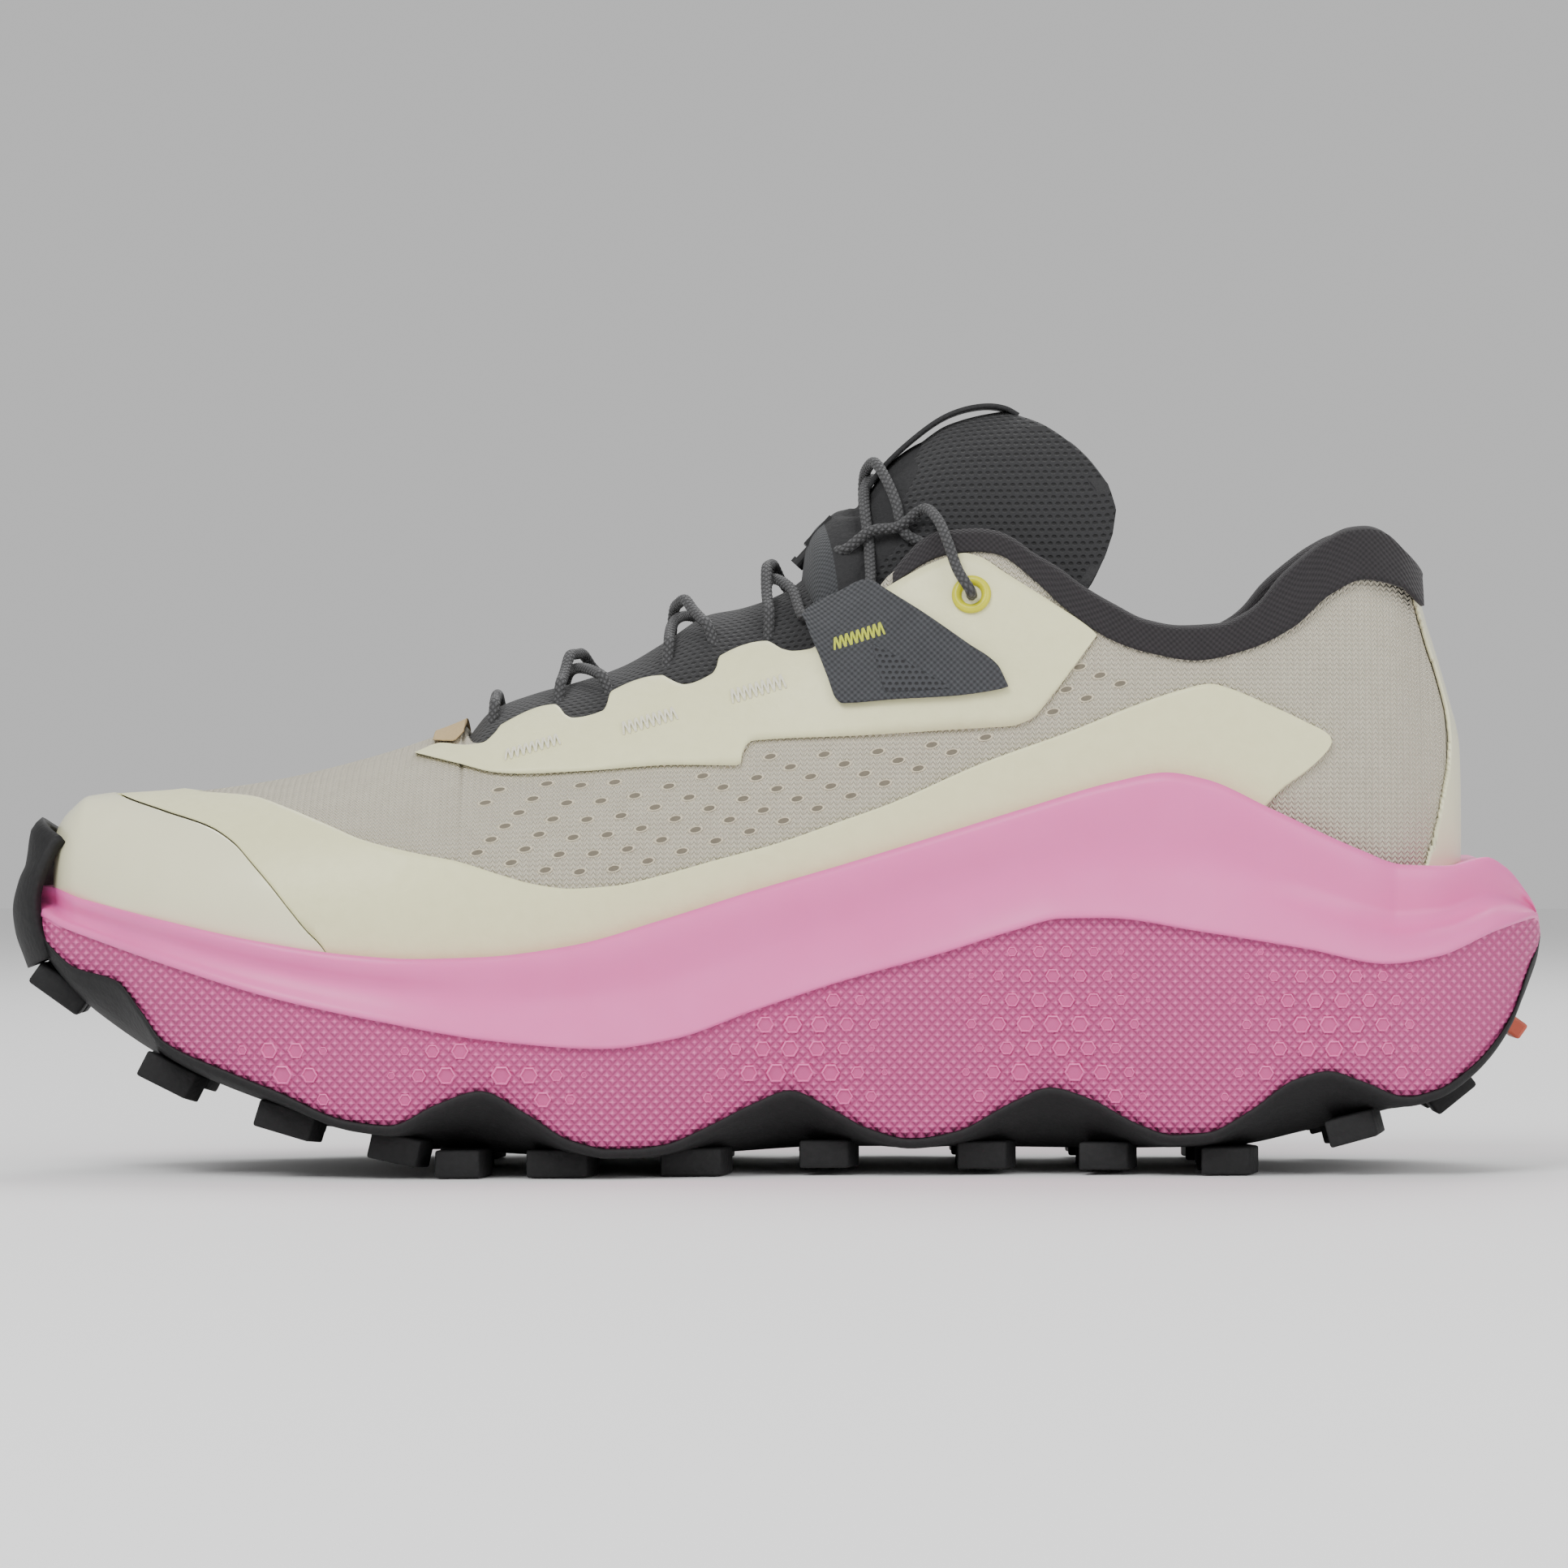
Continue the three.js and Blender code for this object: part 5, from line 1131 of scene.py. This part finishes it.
# Eyelets: turned rings pressed through the film and knit, one each side.
for side, name in ((-1, "medial"), (1, "lateral")):
    hole, axis = eyelet_axis(side)
    ring = bmesh.new()
    outline = ((1.8, -2.6), (2.25, -2.6), (2.3, 1.25), (3.45, 1.25), (3.6, 1.5), (3.5, 1.85), (3.0, 2.2), (2.4, 2.15),
        (1.95, 1.75), (1.8, 1.2))
    verts = [ring.verts.new((r, 0, h)) for r, h in outline]
    made = [ring.edges.new((a, b)) for a, b in zip(verts, verts[1:] + verts[:1])]
    bmesh.ops.spin(ring, geom=verts + made, cent=(0, 0, 0), axis=(0, 0, 1), dvec=(0, 0, 0), angle=2 * math.pi,
        steps=48, use_merge=True)
    turn = axis.to_track_quat("Z", "Y").to_matrix()
    for v in ring.verts:
        v.co = (hole + turn @ v.co) * MM
    for f in ring.faces:
        f.smooth = True
    eyelet = finish_piece(ring, f"eyelet_{name}_ring", (lime_plastic,), "shoe", (f"eyelet_{name}",))

# Wings: dense woven webbing folded over the lace and sewn flat on the eyestay.
wing_low = curve((3.2, 101.6), (3.6, 101.0), (4.8, 97.8), (6.4, 94), (8, 89.8), (9.3, 86.3), (10.6, 85.3), (20, 86),
    (30.6, 86.6), (39, 87.8), (40.6, 88.3))
wing_high = curve((3.2, 101.7), (5.0, 103.5), (10, 105.9), (14.8, 108.0), (16.6, 107.6), (17.4, 107.0), (25.4, 101.8),
    (33.2, 96.3), (38.6, 92.4), (40.6, 88.5))
twill = cloth("wing_twill", weave, (0.062, 0.065, 0.072), (0.012, 0.013, 0.015), 0.8, 0.0005, 0.1, Pitch=0.0012)
coarse = cloth("wing_mesh", mesh_holes, (0.040, 0.042, 0.047), (0.006, 0.006, 0.007), 0.85, 0.0005, 0.1, Pitch=0.0012)
patch_low = curve((16.1, 95.6), (18.6, 87.4), (29.8, 88.0), (30.2, 88.1))
patch_high = curve((16.1, 96.0), (20, 94.0), (26, 90.6), (30.2, 88.2))
for side, name in ((-1, "medial"), (1, "lateral")):
    bm = shell(3.2, 40.6, wing_low, wing_high, -2.05, -1.0, 110, 40, sides=(side,), crowd=0.1)
    wing = finish_piece(bm, f"wing_{name}_webbing", (twill,), "shoe", (f"wing_{name}",))
    finish_piece(shell(16.1, 30.2, patch_low, patch_high, -2.12, -1.8, 50, 20, sides=(side,), crowd=0.1),
        f"wing_{name}_window", (coarse,), "shoe")

# Bar-tacks: rows of slanted thread locking each tab and wing to the film.
thread_cream = toned("thread_cream", (0.86, 0.84, 0.68), (0.66, 0.63, 0.47), 0.6, 2200, 0.6)
thread_lime = toned("thread_lime", (0.52, 0.56, 0.04), (0.40, 0.44, 0.03), 0.6, 2200, 0.6)
stitch = bmesh.new()
bmesh.ops.create_cube(stitch, size=1)
bmesh.ops.bevel(stitch, geom=stitch.edges[:], offset=0.22, affect="EDGES", segments=2, profile=0.5, material=-1)
for f in stitch.faces:
    f.smooth = True
stitch_data = bpy.data.meshes.new("stitch")
stitch.to_mesh(stitch_data)
stitch.free()


def stitched(name, body, spots, out, thread, replaced=()):
    bm = bmesh.new()
    frame_at = on_upper(out)
    for x, z, side, length, wide, angle in spots:
        first = len(bm.verts)
        bm.from_mesh(stitch_data)
        bm.verts.ensure_lookup_table()
        spot, along, up, outward = frame_at(x, z, side)
        c, s = math.cos(angle), math.sin(angle)
        for v in bm.verts[first:]:
            a, b = v.co.x * length, v.co.y * wide
            drop = -0.35 * (2 * v.co.x) ** 2 * min(1, length / 3)
            v.co = spot + (along * (a * c - b * s) + up * (a * s + b * c) + outward * (v.co.z * wide + drop)) * MM
    return finish_piece(bm, name, (thread,), body, replaced)


def tack(x, z, side, length, height, slope, count):
    rows = []
    for k in range(count * 2):
        u = (k / (count * 2 - 1) - 0.5) * length
        lean = 0.16 if k % 2 else -0.16
        rows.append((x + u * math.cos(slope), z + u * math.sin(slope), side, height, 0.42,
            slope + math.pi / 2 + lean))
    return rows


for side, name in ((-1, "medial"), (1, "lateral")):
    for k, (x, z) in enumerate(((-45.6, 77.6), (-24.5, 82.3), (-4.8, 88.1))):
        stitched(f"bar_tack_{name}_{k + 1}_thread", "shoe", tack(x, z, side, 9.6, 3.3, 0.29, 9), 1.12, thread_cream,
            (f"bar_tack_{name}_{k + 1}",))
    stitched(f"wing_tack_{name}_thread", "shoe", tack(13.5, 97.6, side, 9.0, 3.0, 0.31, 9), 2.15, thread_lime,
        (f"wing_bar_tack_{name}",))
